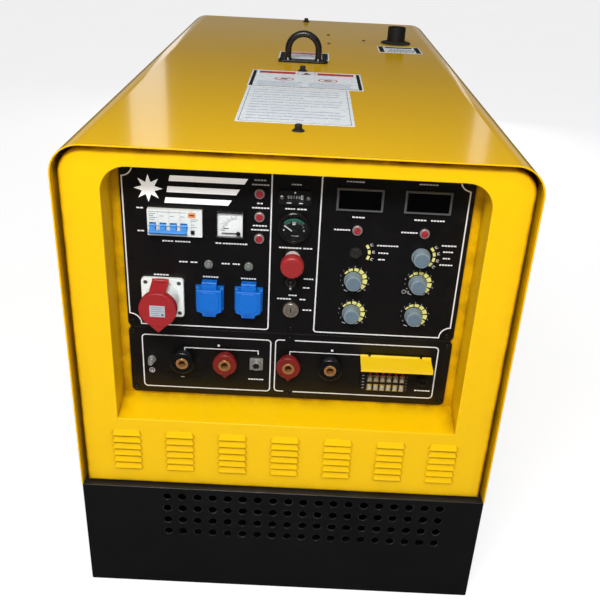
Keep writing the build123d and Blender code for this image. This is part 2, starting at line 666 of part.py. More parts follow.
# ---------------------------------------------------------------------------
# Meters
# ---------------------------------------------------------------------------
VOLT_PIVOT = (-93.5, 730.2)
VOLT_PIN_R = 1.0
FUEL_PIVOT = (FUEL_GAUGE[0], FUEL_GAUGE[1] - 8.0)
FUEL_PIN_R = 1.2


def voltmeter_case():
    case = round_along(panel_block(*VOLTMETER, 23, 23, -11.0, 0), Axis.Y, 1.5)
    case -= panel_block(*VOLTMETER, 20.8, 20.8, -12.0, -6.0)
    case += panel_rod(*VOLTMETER, -1.0, 34.0, 18.8)
    case -= panel_rod(*VOLT_PIVOT, -7.0, -4.5, VOLT_PIN_R + RUN)
    return main_solid(case)


def voltmeter_needle():
    """Needle lying flat, pointing left from its pivot."""
    x, z = VOLT_PIVOT
    needle = panel_rod(x, z, -9.2, -6.4, 2.2) + panel_rod(x, z, -7.0, -4.7, VOLT_PIN_R)
    needle += panel_box(x - 27.5, x, -9.0, -8.2, z - 0.7, z + 0.7)
    return main_solid(needle)


def fuel_gauge_case():
    case = round_front(panel_rod(*FUEL_GAUGE, -8.0, 0, 27.0), 3.0)
    case -= panel_rod(*FUEL_GAUGE, -9.0, -2.0, 22.6)
    case += panel_rod(*FUEL_GAUGE, -0.5, 30.0, 24.0)
    case -= panel_rod(*FUEL_PIVOT, -4.0, 1.0, FUEL_PIN_R + RUN)
    return main_solid(case)


def fuel_gauge_needle():
    """Needle pointing up to the left."""
    x, z = FUEL_PIVOT
    needle = panel_rod(x, z, -5.6, -2.5, 4.2) + panel_rod(x, z, -3.0, 0.8, FUEL_PIN_R)
    needle += Pos(x, 0, z) * Rot(0, 36, 0) * panel_box(-20.0, 0.0, -5.2, -4.4, -0.8, 0.8)
    return main_solid(needle)


def meter_windows():
    return [panel_block(*VOLTMETER, 20.6, 20.6, -10.9, -9.8),
            panel_rod(*FUEL_GAUGE, -7.2, -6.2, 22.4),
            *[panel_block(*at, 34.3, 16.0, -2.4, -1.1) for at in DISPLAYS],
            panel_block(*HOUR_METER, 13.8, 5.3, -1.4, -0.2)]


def display(x, z):
    """Rectangular bezel and body, hollow behind the window."""
    bezel = panel_block(x, z, 38.2, 19.4, -4.0, 0)
    bezel = try_fillet(bezel, bezel.edges().group_by(Axis.Y)[0], 1.4)
    bezel += panel_block(x, z, 33.5, 15.2, -1.0, 24.0)
    bezel -= panel_block(x, z, 34.5, 16.2, -6.0, -1.0)
    bezel -= panel_block(x, z, 31.5, 14.5, -6.0, 2.0)
    return main_solid(bezel)


def hour_meter():
    x, z = HOUR_METER
    meter = panel_slab(rect(x - 27, x + 27, z - 12.5, z + 12.5, 5.0), -3.0, 0)
    meter += panel_block(x, z, 18, 9.6, -1.0, 26.0)
    meter -= panel_block(x, z, 14, 5.5, -4.0, 0.8)
    for dx in (-21.3, 21.3):
        meter += panel_rod(x + dx, z, -4.2, -2.0, 3.2)
    return main_solid(meter)


save("voltmeter_case", voltmeter_case())
save("voltmeter_needle", voltmeter_needle())
save("fuel_gauge_case", fuel_gauge_case())
save("fuel_gauge_needle", fuel_gauge_needle())
save("meter_windows", *meter_windows())
save("digital_meters", *[display(*at) for at in DISPLAYS], hour_meter())

# ---------------------------------------------------------------------------
# Lamps, collars, buttons, switches, knobs
# ---------------------------------------------------------------------------
BUTTON_R = 4.0
STEM_R = 5.5
BARREL_R = 8.0
KNOB_SHAFT_R = 3.0


def lamp_lens(x, z):
    dome = Pos(x, Y_PANEL - 3.6, z) * Sphere(5.5) & panel_block(x, z, 6, 6, -6.2, -3.5)
    return panel_rod(x, z, -3.6, -1.0, 5.5) + dome


def collar(at, front, flange_r, rounding, back, neck_r, bore):
    """Round flange on a neck through the panel; bore is (y0, y1, radius)."""
    shape = round_front(panel_rod(*at, front, 0, flange_r), rounding)
    shape += panel_rod(*at, -0.5, back, neck_r)
    return shape - panel_rod(*at, *bore)


def idle_collar():
    shape = panel_rod(*IDLE, -8.0, 10.0, 5.9) + panel_hex(*IDLE, -4.2, 0, 18.0)
    return shape - panel_rod(*IDLE, -9.0, 2.0, 4.0)


def knob_collar(at, with_nut):
    shape = panel_rod(*at, -1.8, 14.0, 4.8)
    if with_nut:
        shape += panel_rod(*at, -2.2, 0, 9.8) + panel_hex(*at, -6.5, -2.0, 12.5)
    else:
        shape += panel_rod(*at, -1.8, 0, 7.5)
    return shape - panel_rod(*at, -8.0, 15.0, KNOB_SHAFT_R + RUN)


def panel_collars():
    collars = [collar(at, -5.0, 8.4, 1.8, 14.0, 6.0, (-6.0, -1.0, 5.7)) for at in LAMPS]
    collars += [collar(at, -5.0, 7.4, 1.2, 18.0, 5.6, (-6.0, 12.0, BUTTON_R + RUN))
                for at in BUTTONS]
    collars.append(collar(STOP, -14.0, 13.4, 2.0, 30.0, 9.0, (-15.0, 22.0, STEM_R + RUN)))
    collars.append(idle_collar())
    collars.append(collar(IGNITION, -7.0, 13.8, 2.0, 24.0, 10.0, (-8.0, 20.0, BARREL_R + RUN)))
    collars.append(knob_collar(SELECTOR_A, True))
    collars += [knob_collar(at, False) for at in (SELECTOR_B, *POTS.values())]
    return [main_solid(c) for c in collars]


def emergency_stop_head():
    """Mushroom head, bored for the stem."""
    head = round_front(panel_rod(*STOP, -42.0, -24.0, 19.5), 6.0)
    head = round_circle(head, Axis.Y, -1, 2.0)
    return main_solid(head - panel_rod(*STOP, -30.0, -20.0, STEM_R + RUN))


def idle_toggle_lever():
    """Ball pivot and tapered lever with a round tip, tilted down."""
    x, z = IDLE
    lever = Pos(x, Y_PANEL - 3.0, z) * Sphere(3.9) + panel_cone(x, z, -21.0, -3.0, 2.5, 1.5)
    lever += Pos(x, Y_PANEL - 21.0, z) * Sphere(2.5)
    return main_solid(panel_tilt(lever, -3.0, z, 11))


def ignition_barrel():
    """Barrel with an upright key slot."""
    barrel = round_front(panel_rod(*IGNITION, -6.0, 16.0, BARREL_R), 0.6)
    return main_solid(barrel - panel_block(*IGNITION, 1.1, 4.5, -7.0, 4.0))


def bare_shaft(x, z):
    """Knob shaft without its knob, with a flat on its right side."""
    shaft = round_front(panel_rod(x, z, -18.0, 20.0, KNOB_SHAFT_R), 0.6)
    return main_solid(shaft - panel_box(x + 1.6, x + 4.0, -19.0, -8.0, z - 4, z + 4))


def knob(x, z, pointer_angle):
    """Tapered fluted knob with a skirt, a pointer groove and its own shaft.
    The pointer angle is 0 to the right, 90 upwards."""
    body = round_front(panel_cone(x, z, -19.0, -5.0, 13.4, 14.2), 1.4)
    body += panel_rod(x, z, -5.2, -2.4, 15.6)
    centre = Pos(x, Y_PANEL - 12.5, z)
    flute = Pos(14.9, 0, 0) * Rot(90, 0, 0) * Cylinder(1.3, 16.0)
    body -= [centre * Rot(0, angle, 0) * flute & panel_block(x, z, 20, 20, -20, -5.2)
             for angle in range(0, 360, 20)]
    groove = panel_box(4.0, 12.6, -20.0, -18.3, -0.8, 0.8)
    body -= Pos(x, 0, z) * Rot(0, -pointer_angle, 0) * groove
    body += panel_rod(x, z, -3.0, 20.0, KNOB_SHAFT_R)
    return main_solid(body)


save("lamp_lenses", *[lamp_lens(*at) for at in LAMPS])
save("panel_collars", *panel_collars())
for i, at in enumerate(BUTTONS):
    save(f"circuit_button_{i + 1}", round_front(panel_rod(*at, -8.0, 6.0, BUTTON_R), 1.0))
save("emergency_stop_stem", panel_rod(*STOP, -30.0, 14.0, STEM_R))
save("emergency_stop_head", emergency_stop_head())
save("idle_toggle_lever", idle_toggle_lever())
save("ignition_barrel", ignition_barrel())
save("process_knob_a", bare_shaft(*SELECTOR_A))
save("process_knob_b", knob(*SELECTOR_B, 0.0))
for name, at in POTS.items():
    save(name, knob(*at, 90.0))

# ---------------------------------------------------------------------------
# Three-phase socket and its lid
# ---------------------------------------------------------------------------
LID_Y, LID_Z = -18.0, THREE_PHASE[1] + 37.0    # lid hinge axis
LID_PIN_R = 2.2
CONTACT_RING_R = 12.0
CONTACT_ANGLES = (90, 162, 234, 306, 18)


def three_phase_socket():
    x, z = THREE_PHASE
    socket = panel_slab(rect(x - 35.6, x + 37.0, z - 36.2, z + 36.2, 6.0), -8.0, 0)
    socket = try_fillet(socket, socket.edges().group_by(Axis.Y)[0], 1.5)
    socket += panel_rod(x, z, -42.0, 34.0, 29.0)
    socket -= panel_rod(x, z, -44.0, 4.0, 25.5)
    socket += panel_rod(x, z, -32.0, 5.0, 19.0)
    socket -= [panel_rod(x + CONTACT_RING_R * math.cos(math.radians(angle)),
                         z + CONTACT_RING_R * math.sin(math.radians(angle)), -33.0, -8.0, 3.2)
               for angle in CONTACT_ANGLES]
    # corner screws, set in shallow counterbores
    for sx in (-1, 1):
        for sz in (-1, 1):
            at = (x + 0.7 + sx * 28.5, z + sz * 28.5)
            socket -= panel_rod(*at, -9.0, -5.5, 3.8)
            socket += panel_rod(*at, -6.9, -5.0, 3.4)
    lug = panel_box(x - 7, x + 7, LID_Y, -6.0, LID_Z - 9.0, LID_Z - 0.5)
    socket += lug + panel_rod_x(LID_Y, LID_Z, x - 7, x + 7, 4.5)
    socket -= panel_rod_x(LID_Y, LID_Z, x - 8, x + 8, LID_PIN_R + RUN)
    return main_solid(socket)


def three_phase_lid():
    """Round lid with a pointed tab below and a forked hinge arm above."""
    x, z = THREE_PHASE
    lid = round_front(panel_rod(x, z, -56.0, -43.0, 32.0), 3.0)
    lid -= panel_rod(x, z, -50.0, -42.0, 27.5)
    clear = panel_rod(x, z, -60, -30, 28.0)
    tab = panel_slab(outline(x, z, [(-17, -26), (0, -42.5), (17, -26)]), -54.5, -44.5)
    lid += tab - clear
    arm = panel_prism([(-55.0, z + 22.0), (-55.0, z + 30.0), (LID_Y - 4.5, LID_Z + 1.0),
                       (LID_Y, LID_Z + 4.5), (LID_Y + 4.3, LID_Z), (LID_Y, LID_Z - 5.5),
                       (-44.0, z + 30.2), (-44.5, z + 22.0)], x - 14.0, x + 14.0)
    arm -= clear & panel_block(x, z, 40, 40, -50, -38)
    arm -= panel_box(x - 7.4, x + 7.4, LID_Y - 6.5, -8, LID_Z - 12, LID_Z + 8)
    arm += panel_rod_x(LID_Y, LID_Z, x - 14.0, x + 14.0, LID_PIN_R)
    return main_solid(lid + arm)


save("three_phase_socket", three_phase_socket())
save("three_phase_lid", three_phase_lid())

# ---------------------------------------------------------------------------
# Blue sockets and their lids
# ---------------------------------------------------------------------------
BLUE_HINGE_Y, BLUE_HINGE_RISE = -9.5, 32.0     # hinge axis, height above the centre
BLUE_PIN_R = 1.6
# (x, z) from the socket's centre
BLUE_FLANGE = [(-24, -19), (-24, 25), (24, 25), (24, -19), (14, -23.5), (-14, -23.5)]
BLUE_LID = [(-21.5, -19), (-21.5, 22), (21.5, 22), (21.5, -19),
            (12.5, -22.5), (11, -28.5), (-11, -28.5), (-12.5, -22.5)]


def blue_body(x, z):
    body = panel_slab(outline(x, z, BLUE_FLANGE), -5.0, 0)
    body += panel_rod(x, z, -0.5, 30.0, 20.0)
    body -= panel_rod(x, z, -6.0, 14.0, 18.2)
    body += panel_rod(x, z, -9.0, -4.0, 19.6) - panel_rod(x, z, -10.0, -3.0, 18.2)
    for s in (-1, 1):
        body -= panel_rod(x + s * 9.5, z, 13.0, 28.0, 2.4)
        body += panel_rod(x + s * 20.5, z + 21.0, -5.8, -4.0, 2.6)
        body += panel_rod(x + s * 20.5, z - 15.5, -5.8, -4.0, 2.6)
    y, hinge_z = BLUE_HINGE_Y, z + BLUE_HINGE_RISE
    body += (panel_box(x - 5, x + 5, y, 0, z + 24.0, hinge_z + 3.2)
             + panel_rod_x(y, hinge_z, x - 5, x + 5, 3.6))
    body += panel_box(x - 12.5, x + 12.5, -4.5, 0, z + 24.0, hinge_z + 3.2)
    body -= panel_rod_x(y, hinge_z, x - 6, x + 6, BLUE_PIN_R + RUN)
    return main_solid(body)


def blue_lid(x, z):
    """Dished plate with a tongue below and a forked hinge above."""
    y, hinge_z = BLUE_HINGE_Y, z + BLUE_HINGE_RISE
    lid = panel_slab(outline(x, z, BLUE_LID), -17.0, -9.6)
    lid = try_fillet(lid, lid.faces().sort_by(Axis.Y)[0].edges(), 1.8)
    lid += panel_slab(rect(x - 22.8, x + 22.8, z - 17, z + 17.0, 3.0), -12.5, -9.6)
    lid -= panel_rod(x, z, -12.0, -8.0, 17.0)
    lid += panel_box(x - 12.5, x + 12.5, -14.5, -8.0, z + 21.0, hinge_z)
    lid += panel_rod_x(y, hinge_z, x - 12.5, x + 12.5, 3.4)
    lid -= panel_box(x - 5.3, x + 5.3, y - 4.2, 0, z + 23.0, hinge_z + 5)
    lid += panel_rod_x(y, hinge_z, x - 12.5, x + 12.5, BLUE_PIN_R)
    return main_solid(lid)


for i, at in enumerate(BLUE_SOCKETS):
    save(f"blue_lid_{i + 1}", blue_lid(*at))
save("blue_socket_bodies", *[blue_body(*at) for at in BLUE_SOCKETS])

# ---------------------------------------------------------------------------
# Weld terminals, remote sockets, terminal strip
# ---------------------------------------------------------------------------
INSERT_R = 11.0
STRIP_X, STRIP_Z = (131.0, 216.0), (434.0, 475.0)
STRIP_PITCH = 11.6
STRIP_X0 = 146.4               # first column of screws
STRIP_COLS = 6
STRIP_MID_Z = 451.3            # between the two screw rows


def weld_shell(x, z):
    """Collar with a pointed tab below."""
    shell = round_front(panel_rod(x, z, -20.0, -12.0, 21.5), 3.0)
    shell += panel_rod(x, z, -12.5, 0, 17.5)
    tab = panel_slab(outline(x, z, [(-10, -17), (0, -28.0), (10, -17)]), -17.5, -12.5)
    shell = shell + tab + panel_rod(x, z, -0.5, 18.0, 15.0)
    return main_solid(shell - panel_rod(x, z, -22.0, 20.0, INSERT_R + RUN))


def weld_insert(x, z):
    """Bored metal insert with a hexagon and a stud behind."""
    insert = round_front(panel_rod(x, z, -21.0, 30.0, INSERT_R), 1.0)
    insert -= panel_rod(x, z, -23.0, -0.5, 6.5)
    insert += panel_rod(x, z, 30.0, 46.0, 6.0) + panel_hex(x, z, 30.0, 38.0, 19.0)
    return main_solid(insert)


def remote_a():
    """Socket with a square flange."""
    x, z = REMOTE_A
    socket = panel_slab(rect(x - 11.8, x + 11.8, z - 11.8, z + 11.8, 1.5), -3.0, 0)
    socket += panel_rod(x, z, -11.0, 18.0, 8.0)
    socket -= panel_rod(x, z, -12.0, -2.0, 6.4)
    return main_solid(socket + panel_rod(x, z, -8.0, -1.0, 5.0))


def remote_b():
    """Socket with a round flange."""
    socket = panel_rod(*REMOTE_B, -3.0, 0, 11.0) + panel_rod(*REMOTE_B, -8.0, 18.0, 8.0)
    socket -= panel_rod(*REMOTE_B, -9.0, -1.5, 6.4)
    return main_solid(socket + panel_rod(*REMOTE_B, -5.0, -1.0, 3.0))


def strip_body():
    """Base with upright barriers, a rib between the rows and two mounting holes."""
    strip = panel_box(*STRIP_X, -6.0, 0, *STRIP_Z)
    left = STRIP_X0 - STRIP_PITCH / 2
    for i in range(STRIP_COLS + 1):
        x = left + STRIP_PITCH * i
        strip += panel_box(x - 0.8, x + 0.8, -13.5, -5.0, STRIP_Z[0] + 2, STRIP_Z[1] - 2)
    strip += panel_box(left, left + STRIP_COLS * STRIP_PITCH, -9.0, -5.0,
                       STRIP_MID_Z - 1.2, STRIP_MID_Z + 1.2)
    for x in (STRIP_X[0] + 5.0, STRIP_X[1] - 5.0):
        strip -= panel_rod(x, STRIP_MID_Z, -7.0, 1.0, 2.2)
    return main_solid(strip)


def strip_screw(x, z):
    """Slotted screw on its clamp plate."""
    screw = panel_block(x, z, 4.6, 7.0, -7.4, -6.0) + panel_rod(x, z, -10.4, -7.2, 3.6)
    return main_solid(screw - panel_block(x, z, 3.8, 0.5, -10.8, -9.4))


save("weld_terminal_shells", *[weld_shell(*at) for at in WELD_TERMINALS])
save("weld_terminal_inserts", *[weld_insert(*at) for at in WELD_TERMINALS])
save("remote_sockets", remote_a(), remote_b())
save("terminal_strip", strip_body(),
     *[strip_screw(STRIP_X0 + STRIP_PITCH * i, STRIP_MID_Z + dz)
       for i in range(STRIP_COLS) for dz in (-9.2, 9.2)])

# ---------------------------------------------------------------------------
# Inside the canopy
# ---------------------------------------------------------------------------
NECK = (-300.0, -180.0)        # filler neck (x, y)
NECK_R = 27.0
ALT_BORE_R = 122.0
PULLEY_Y = (350, 374)
BELT_Y = (354, 370)
BELT_T, BELT_GAP = 5.0, 0.1


def fuel_tank():
    """Hollow tank with a filler neck."""
    tank = box(-340, 340, -250, 180, 92, 190)
    tank = try_fillet(tank, tank.edges(), 10.0)
    tank += cyl_z(*NECK, 185, 300, NECK_R)
    tank -= cyl_z(*NECK, 150, 310, 23.0)
    tank -= box(-330, 330, -240, 170, 102, 180)
    return main_solid(tank)


def fuel_cap():
    """Cap with grip flutes and a raised bar on top."""
    x, y = NECK
    cap = round_top(cyl_z(x, y, 285, 308, 33.0), 4.0)
    cap -= cyl_z(x, y, 284, 301.0, NECK_R + RUN)
    cap -= [Pos(x, y, 294) * Rot(0, 0, angle) * Pos(34.0, 0, 0) * Cylinder(2.2, 30)
            for angle in range(0, 360, 30)]
    cap += box(x - 26, x + 26, y - 4, y + 4, 307, 316)
    return main_solid(cap)


def engine_block():
    """Crankcase, sump, head, rocker cover, flywheel housing, ports and feet."""
    engine = box(-115, 115, -5, 325, 330, 560)
    engine += box(-90, 90, 20, 300, 290, 331)
    engine += box(-100, 100, 5, 315, 560, 640)
    engine += box(-62, 62, 15, 305, 640, 690)
    engine += cyl_y(0, CRANK_Z, -30, 0, 150.0)
    for i in range(4):
        y = 60 + 68 * i
        engine += cyl_x(y, PORT_Z, 100, 128, 20.0)
        engine += cyl_x(y, PORT_Z, -128, -100, 18.0)
    engine += box(-175, 175, REAR_BEAM_Y - 25, REAR_BEAM_Y + 25, ENGINE_FOOT_Z, 345)
    engine += cyl_y(0, FAN_Z, 320, 338, 34.0)
    engine += cyl_x(150, 470, 110, 190, 38.0)
    engine -= cyl_y(0, CRANK_Z, -31, 330, 60.0) & box(-200, 200, -31, 300, 0, 900)
    engine -= cyl_y(0, CRANK_Z, 290, 330, SHAFT_R + RUN)
    engine -= cyl_y(0, FAN_Z, 322, 340, FAN_SHAFT_R + RUN)
    return main_solid(engine)


def alternator_housing():
    """Finned drum on two legs, with a box on top."""
    bore = cyl_y(0, CRANK_Z, -415, -29, ALT_BORE_R)
    housing = cyl_y(0, CRANK_Z, -440, -30, 150.0)
    housing -= bore
    housing -= cyl_y(0, CRANK_Z, -441, -400, SHAFT_R + RUN)
    y0, y1 = FRONT_BEAM_Y - 25, FRONT_BEAM_Y + 25
    housing += box(-175, 175, y0, y1, ALT_FOOT_Z, ALT_FOOT_Z + 10)
    housing += box(-160, -120, y0, y1, 280, 360) + box(120, 160, y0, y1, 280, 360)
    fins = [Pos(0, -235, CRANK_Z) * Rot(0, angle, 0) * box(146, 160, -170, 170, -3, 3)
            for angle in (*range(-80, 81, 16), *range(100, 261, 16))]
    # no fins low down, by the feet
    housing += [fin for fin in fins if fin.bounding_box().min.Z > 300]
    housing += box(-70, 70, -400, -200, 545, 600)
    # clear what the fins, legs and box left inside the bore
    housing -= bore
    return main_solid(housing)


def rotor_shaft():
    rotor = cyl_y(0, CRANK_Z, -448, 352, SHAFT_R) + cyl_y(0, CRANK_Z, -380, -110, 108.0)
    rotor += cyl_y(0, CRANK_Z, -90, -40, 118.0) + cyl_y(0, CRANK_Z, 30, 270, 42.0)
    rotor += cyl_y(0, CRANK_Z, *PULLEY_Y, CRANK_PULLEY_R)
    return main_solid(rotor)


def cooling_fan():
    """Shaft, pulley, hub and six pitched blades."""
    fan = cyl_y(0, FAN_Z, 325, 420, FAN_SHAFT_R) + cyl_y(0, FAN_Z, *PULLEY_Y, FAN_PULLEY_R)
    fan += cyl_y(0, FAN_Z, 384, 418, 44.0)
    blade = Pos(110, 0, 0) * Rot(28, 0, 0) * box(-74, 74, -2, 2, -30, 30)
    fan += [Pos(0, 401, FAN_Z) * Rot(0, 60 * i, 0) * blade for i in range(6)]
    return main_solid(fan)


def belt_outline(offset):
    """Outline round both pulleys, offset outwards, crank pulley at the origin."""
    low_r, high_r = CRANK_PULLEY_R + offset, FAN_PULLEY_R + offset
    distance = FAN_Z - CRANK_Z
    slant = math.asin((low_r - high_r) / distance)
    c, s = math.cos(slant), math.sin(slant)
    low_z, high_z = low_r * s, distance + high_r * s
    body = make_face(Polyline((low_r * c, low_z), (high_r * c, high_z),
                              (-high_r * c, high_z), (-low_r * c, low_z), close=True))
    return body + Circle(low_r) + Pos(0, distance) * Circle(high_r)


def fan_belt():
    belt = belt_outline(BELT_T + BELT_GAP) - belt_outline(BELT_GAP)
    return main_solid(extrude_y(Pos(0, CRANK_Z) * belt, *BELT_Y))


def radiator():
    """Core with end tanks, fan shroud in front, rear grooves, filler and feet."""
    core = box(-235, 235, 470, 530, 300, 800)
    core = core + box(-245, 245, 462, 538, 780, 830) + box(-245, 245, 462, 538, 262, 305)
    shroud = box(-225, 225, 430, 471, 320, 765) - box(-222, 222, 433, 480, 323, 762)
    shroud -= cyl_y(0, FAN_Z, 420, 440, 200.0)
    core += shroud
    core -= [box(-225 + 30 * i, -225 + 30 * i + 22, 520, 531, 310, 775) for i in range(15)]
    core += cyl_z(-170, 500, 829, 848, 22.0)
    core += box(-245, -200, 462, 538, 243, 263) + box(200, 245, 462, 538, 243, 263)
    return main_solid(core)


def exhaust_muffler():
    """Drum with a stack and collar through the roof and an elbow to the engine."""
    muffler = cyl_y(STACK_X, 775, 120, 430, 62.0)
    muffler = try_fillet(muffler, muffler.edges().filter_by(GeomType.CIRCLE), 12.0)
    muffler += cyl_z(STACK_X, STACK_Y, 780, STACK_TOP, STACK_R)
    muffler += (cyl_z(STACK_X, STACK_Y, ROOF_Z + 0.5, ROOF_Z + 2.5, 40.0)
                + Pos(STACK_X, STACK_Y, ROOF_Z + 4.2) * Cone(40.0, 27.5, 3.6))
    muffler -= cyl_z(STACK_X, STACK_Y, 800, STACK_TOP + 1, STACK_R - 3.0)
    muffler += (cyl_x(PORT_Y, PORT_Z, 129, 200, 17.0) + Pos(200, PORT_Y, PORT_Z) * Sphere(17.0)
                + cyl_z(200, PORT_Y, PORT_Z, 745, 17.0))
    return main_solid(muffler)


def battery():
    case = round_along(box(190, 330, -490, -335, BASE_H, 420), Axis.Z, 4.0)
    case += box(186, 334, -494, -331, 395, 403)
    case += cyl_z(225, -360, 415, 432, 9.0) + cyl_z(295, -360, 415, 432, 9.0)
    return main_solid(case)


def air_cleaner():
    """Drum with a front inlet and an elbow to the engine."""
    cleaner = cyl_y(-240, 720, 60, 330, 72.0)
    cleaner = try_fillet(cleaner, cleaner.edges().filter_by(GeomType.CIRCLE), 6.0)
    cleaner += (cyl_y(-240, 720, 40, 62, 30.0) + cyl_x(PORT_Y, PORT_Z, -205, -129, 24.0)
                + Pos(-205, PORT_Y, PORT_Z) * Sphere(24.0))
    cleaner += cyl_z(-205, PORT_Y, PORT_Z, 690, 24.0)
    return main_solid(cleaner)


def power_module():
    """Block with fins on top, on two feet."""
    module = box(-270, 150, -585, -475, 300, 520)
    module += [box(-262 + 20 * i, -256 + 20 * i, -585, -475, 519, 560) for i in range(20)]
    module += box(-270, -240, -600, -460, BASE_H, 301) + box(120, 150, -600, -460, BASE_H, 301)
    return main_solid(module)


save("fuel_tank", fuel_tank())
save("fuel_cap", fuel_cap())
save("engine_block", engine_block())
save("alternator_housing", alternator_housing())
save("rotor_shaft", rotor_shaft())
save("cooling_fan", cooling_fan())
save("fan_belt", fan_belt())
save("radiator", radiator())
save("exhaust_muffler", exhaust_muffler())
save("battery", battery())
save("air_cleaner", air_cleaner())
save("av_mounts", *[cyl_z(x, y, BASE_H, top, 22.0) for x in (-MOUNT_X, MOUNT_X)
                    for y, top in ((FRONT_BEAM_Y, ALT_FOOT_Z), (REAR_BEAM_Y, ENGINE_FOOT_Z))])
save("power_module", power_module())
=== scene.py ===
"""An engine-driven welding generator in a yellow canopy.

Part coordinates are millimetres: x runs to the right seen from the front, the control
panels face -y, and z is up from the floor. Meshes are stored in metres.
"""
import math
import random
from functools import cached_property, reduce

import bmesh
import bpy
from mathutils import Matrix, Vector


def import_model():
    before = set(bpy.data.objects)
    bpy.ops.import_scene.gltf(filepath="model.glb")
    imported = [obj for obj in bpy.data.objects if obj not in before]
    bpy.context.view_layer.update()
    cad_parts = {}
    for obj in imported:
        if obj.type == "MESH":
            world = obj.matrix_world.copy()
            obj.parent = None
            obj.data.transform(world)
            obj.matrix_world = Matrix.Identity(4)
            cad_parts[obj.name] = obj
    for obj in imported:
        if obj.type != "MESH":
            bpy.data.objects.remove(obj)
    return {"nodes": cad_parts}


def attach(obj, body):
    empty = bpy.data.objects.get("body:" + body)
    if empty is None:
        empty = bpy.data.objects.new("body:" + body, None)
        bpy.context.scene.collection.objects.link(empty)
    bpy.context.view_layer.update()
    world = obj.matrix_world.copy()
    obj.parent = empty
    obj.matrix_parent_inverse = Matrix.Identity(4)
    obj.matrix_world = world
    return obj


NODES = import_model()["nodes"]
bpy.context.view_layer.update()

MM = 0.001
PANEL_Y = -666.0                # front face of the control panels
ROOF_Z = 888.0
rng = random.Random(11)

# Centres on the control panels, (x, z)
LAMPS = [(-60.0, 798.6), (-59.5, 758.8), (-59.2, 720.5), (102.2, 743.6), (213.1, 743.6)]
BUTTONS = [(-143.8, 669.5), (-76.0, 668.8)]
STOP = (-2.2, 687.0)
KNOBS = {
    "process_knob_a": (102.7, 703.0), "process_knob_b": (211.6, 702.0),
    "current_knob_a": (102.0, 653.0), "arc_knob_a": (103.0, 590.0),
    "current_knob_b": (211.8, 652.2), "arc_knob_b": (211.3, 590.5),
}
POTS = list(KNOBS)[2:]          # the four knobs with a 0 to 10 scale
BLUE_LIDS = {"blue_lid_1": (-142.0, 604.5), "blue_lid_2": (-75.0, 604.8)}
RED_SOCKET = (-223.4, 604.3)
VOLTMETER = (-107.0, 744.8)
VOLT_PIVOT = (-93.5, 730.2)
FUEL_GAUGE = (-2.3, 743.7)
FUEL_PIVOT = (FUEL_GAUGE[0], FUEL_GAUGE[1] - 8.0)
HOUR_COUNTER = (-2.3, 795.0)
STRIP_X = [146.4 + 11.6 * i for i in range(6)]      # poles of the terminal strip


def lin(red, green, blue):
    """8-bit display colour to the linear colour the shaders take."""
    def one(value):
        value /= 255.0
        return value / 12.92 if value <= 0.04045 else ((value + 0.055) / 1.055) ** 2.4
    return (one(red), one(green), one(blue), 1.0)


def shade(colour, factor):
    return tuple(min(1.0, c * factor) for c in colour[:3]) + (1.0,)


def as_list(mats):
    return mats if isinstance(mats, (list, tuple)) else [mats]


# ---------------------------------------------------------------------------
# Node trees
# ---------------------------------------------------------------------------
class Graph:
    """A node tree under construction. Where a socket is wanted, a node means its first output."""

    def __init__(self, tree):
        self.tree = tree
        tree.nodes.clear()

    def node(self, kind, inputs=None, **props):
        """New node; inputs maps socket name or index to a value or source, None is skipped."""
        node = self.tree.nodes.new(kind)
        for key, value in props.items():
            setattr(node, key, value)
        for key, value in (inputs or {}).items():
            if isinstance(value, bpy.types.Node):
                value = value.outputs[0]
            if isinstance(value, bpy.types.NodeSocket):
                self.tree.links.new(value, node.inputs[key])
            elif value is not None:
                node.inputs[key].default_value = value
        return node

    def span(self, value, low, high, to=(0.0, 1.0)):
        """Maps low..high to the range `to`, clamped."""
        return self.node("ShaderNodeMapRange", dict(enumerate((value, low, high, *to))))

    def calc(self, operation, first, second):
        return self.node("ShaderNodeMath", {0: first, 1: second}, operation=operation)

    def times(self, *factors):
        return reduce(lambda done, factor: self.calc("MULTIPLY", done, factor), factors)


class Look(Graph):
    """A material. Texture coordinates are the part's own, in metres."""

    def __init__(self, name):
        self.material = bpy.data.materials.new(name)
        self.material.use_nodes = True
        super().__init__(self.material.node_tree)
        self.point = self.node("ShaderNodeTexCoord").outputs["Object"]

    @cached_property
    def normal(self):
        return self.node("ShaderNodeNewGeometry").outputs["Normal"]

    def scaled(self, *scale):
        return self.node("ShaderNodeMapping", {"Vector": self.point, "Scale": scale})

    def noise(self, scale, detail=3.0, rough=0.55, vector=None, warp=0.0):
        return self.node("ShaderNodeTexNoise", {
            "Vector": vector or self.point, "Scale": scale, "Detail": detail,
            "Roughness": rough, "Distortion": warp})

    def mix(self, factor, first, second):
        node = self.node("ShaderNodeMix", data_type="RGBA", inputs={0: factor, 6: first, 7: second})
        return node.outputs[2]

    def bump(self, height, strength, distance, normal=None):
        return self.node("ShaderNodeBump", {
            "Strength": strength, "Distance": distance, "Height": height, "Normal": normal})

    def mix_shader(self, factor, first, second):
        return self.node("ShaderNodeMixShader", {0: factor, 1: first, 2: second})

    def finish(self, shader):
        self.node("ShaderNodeOutputMaterial", {"Surface": shader})
        return self.material


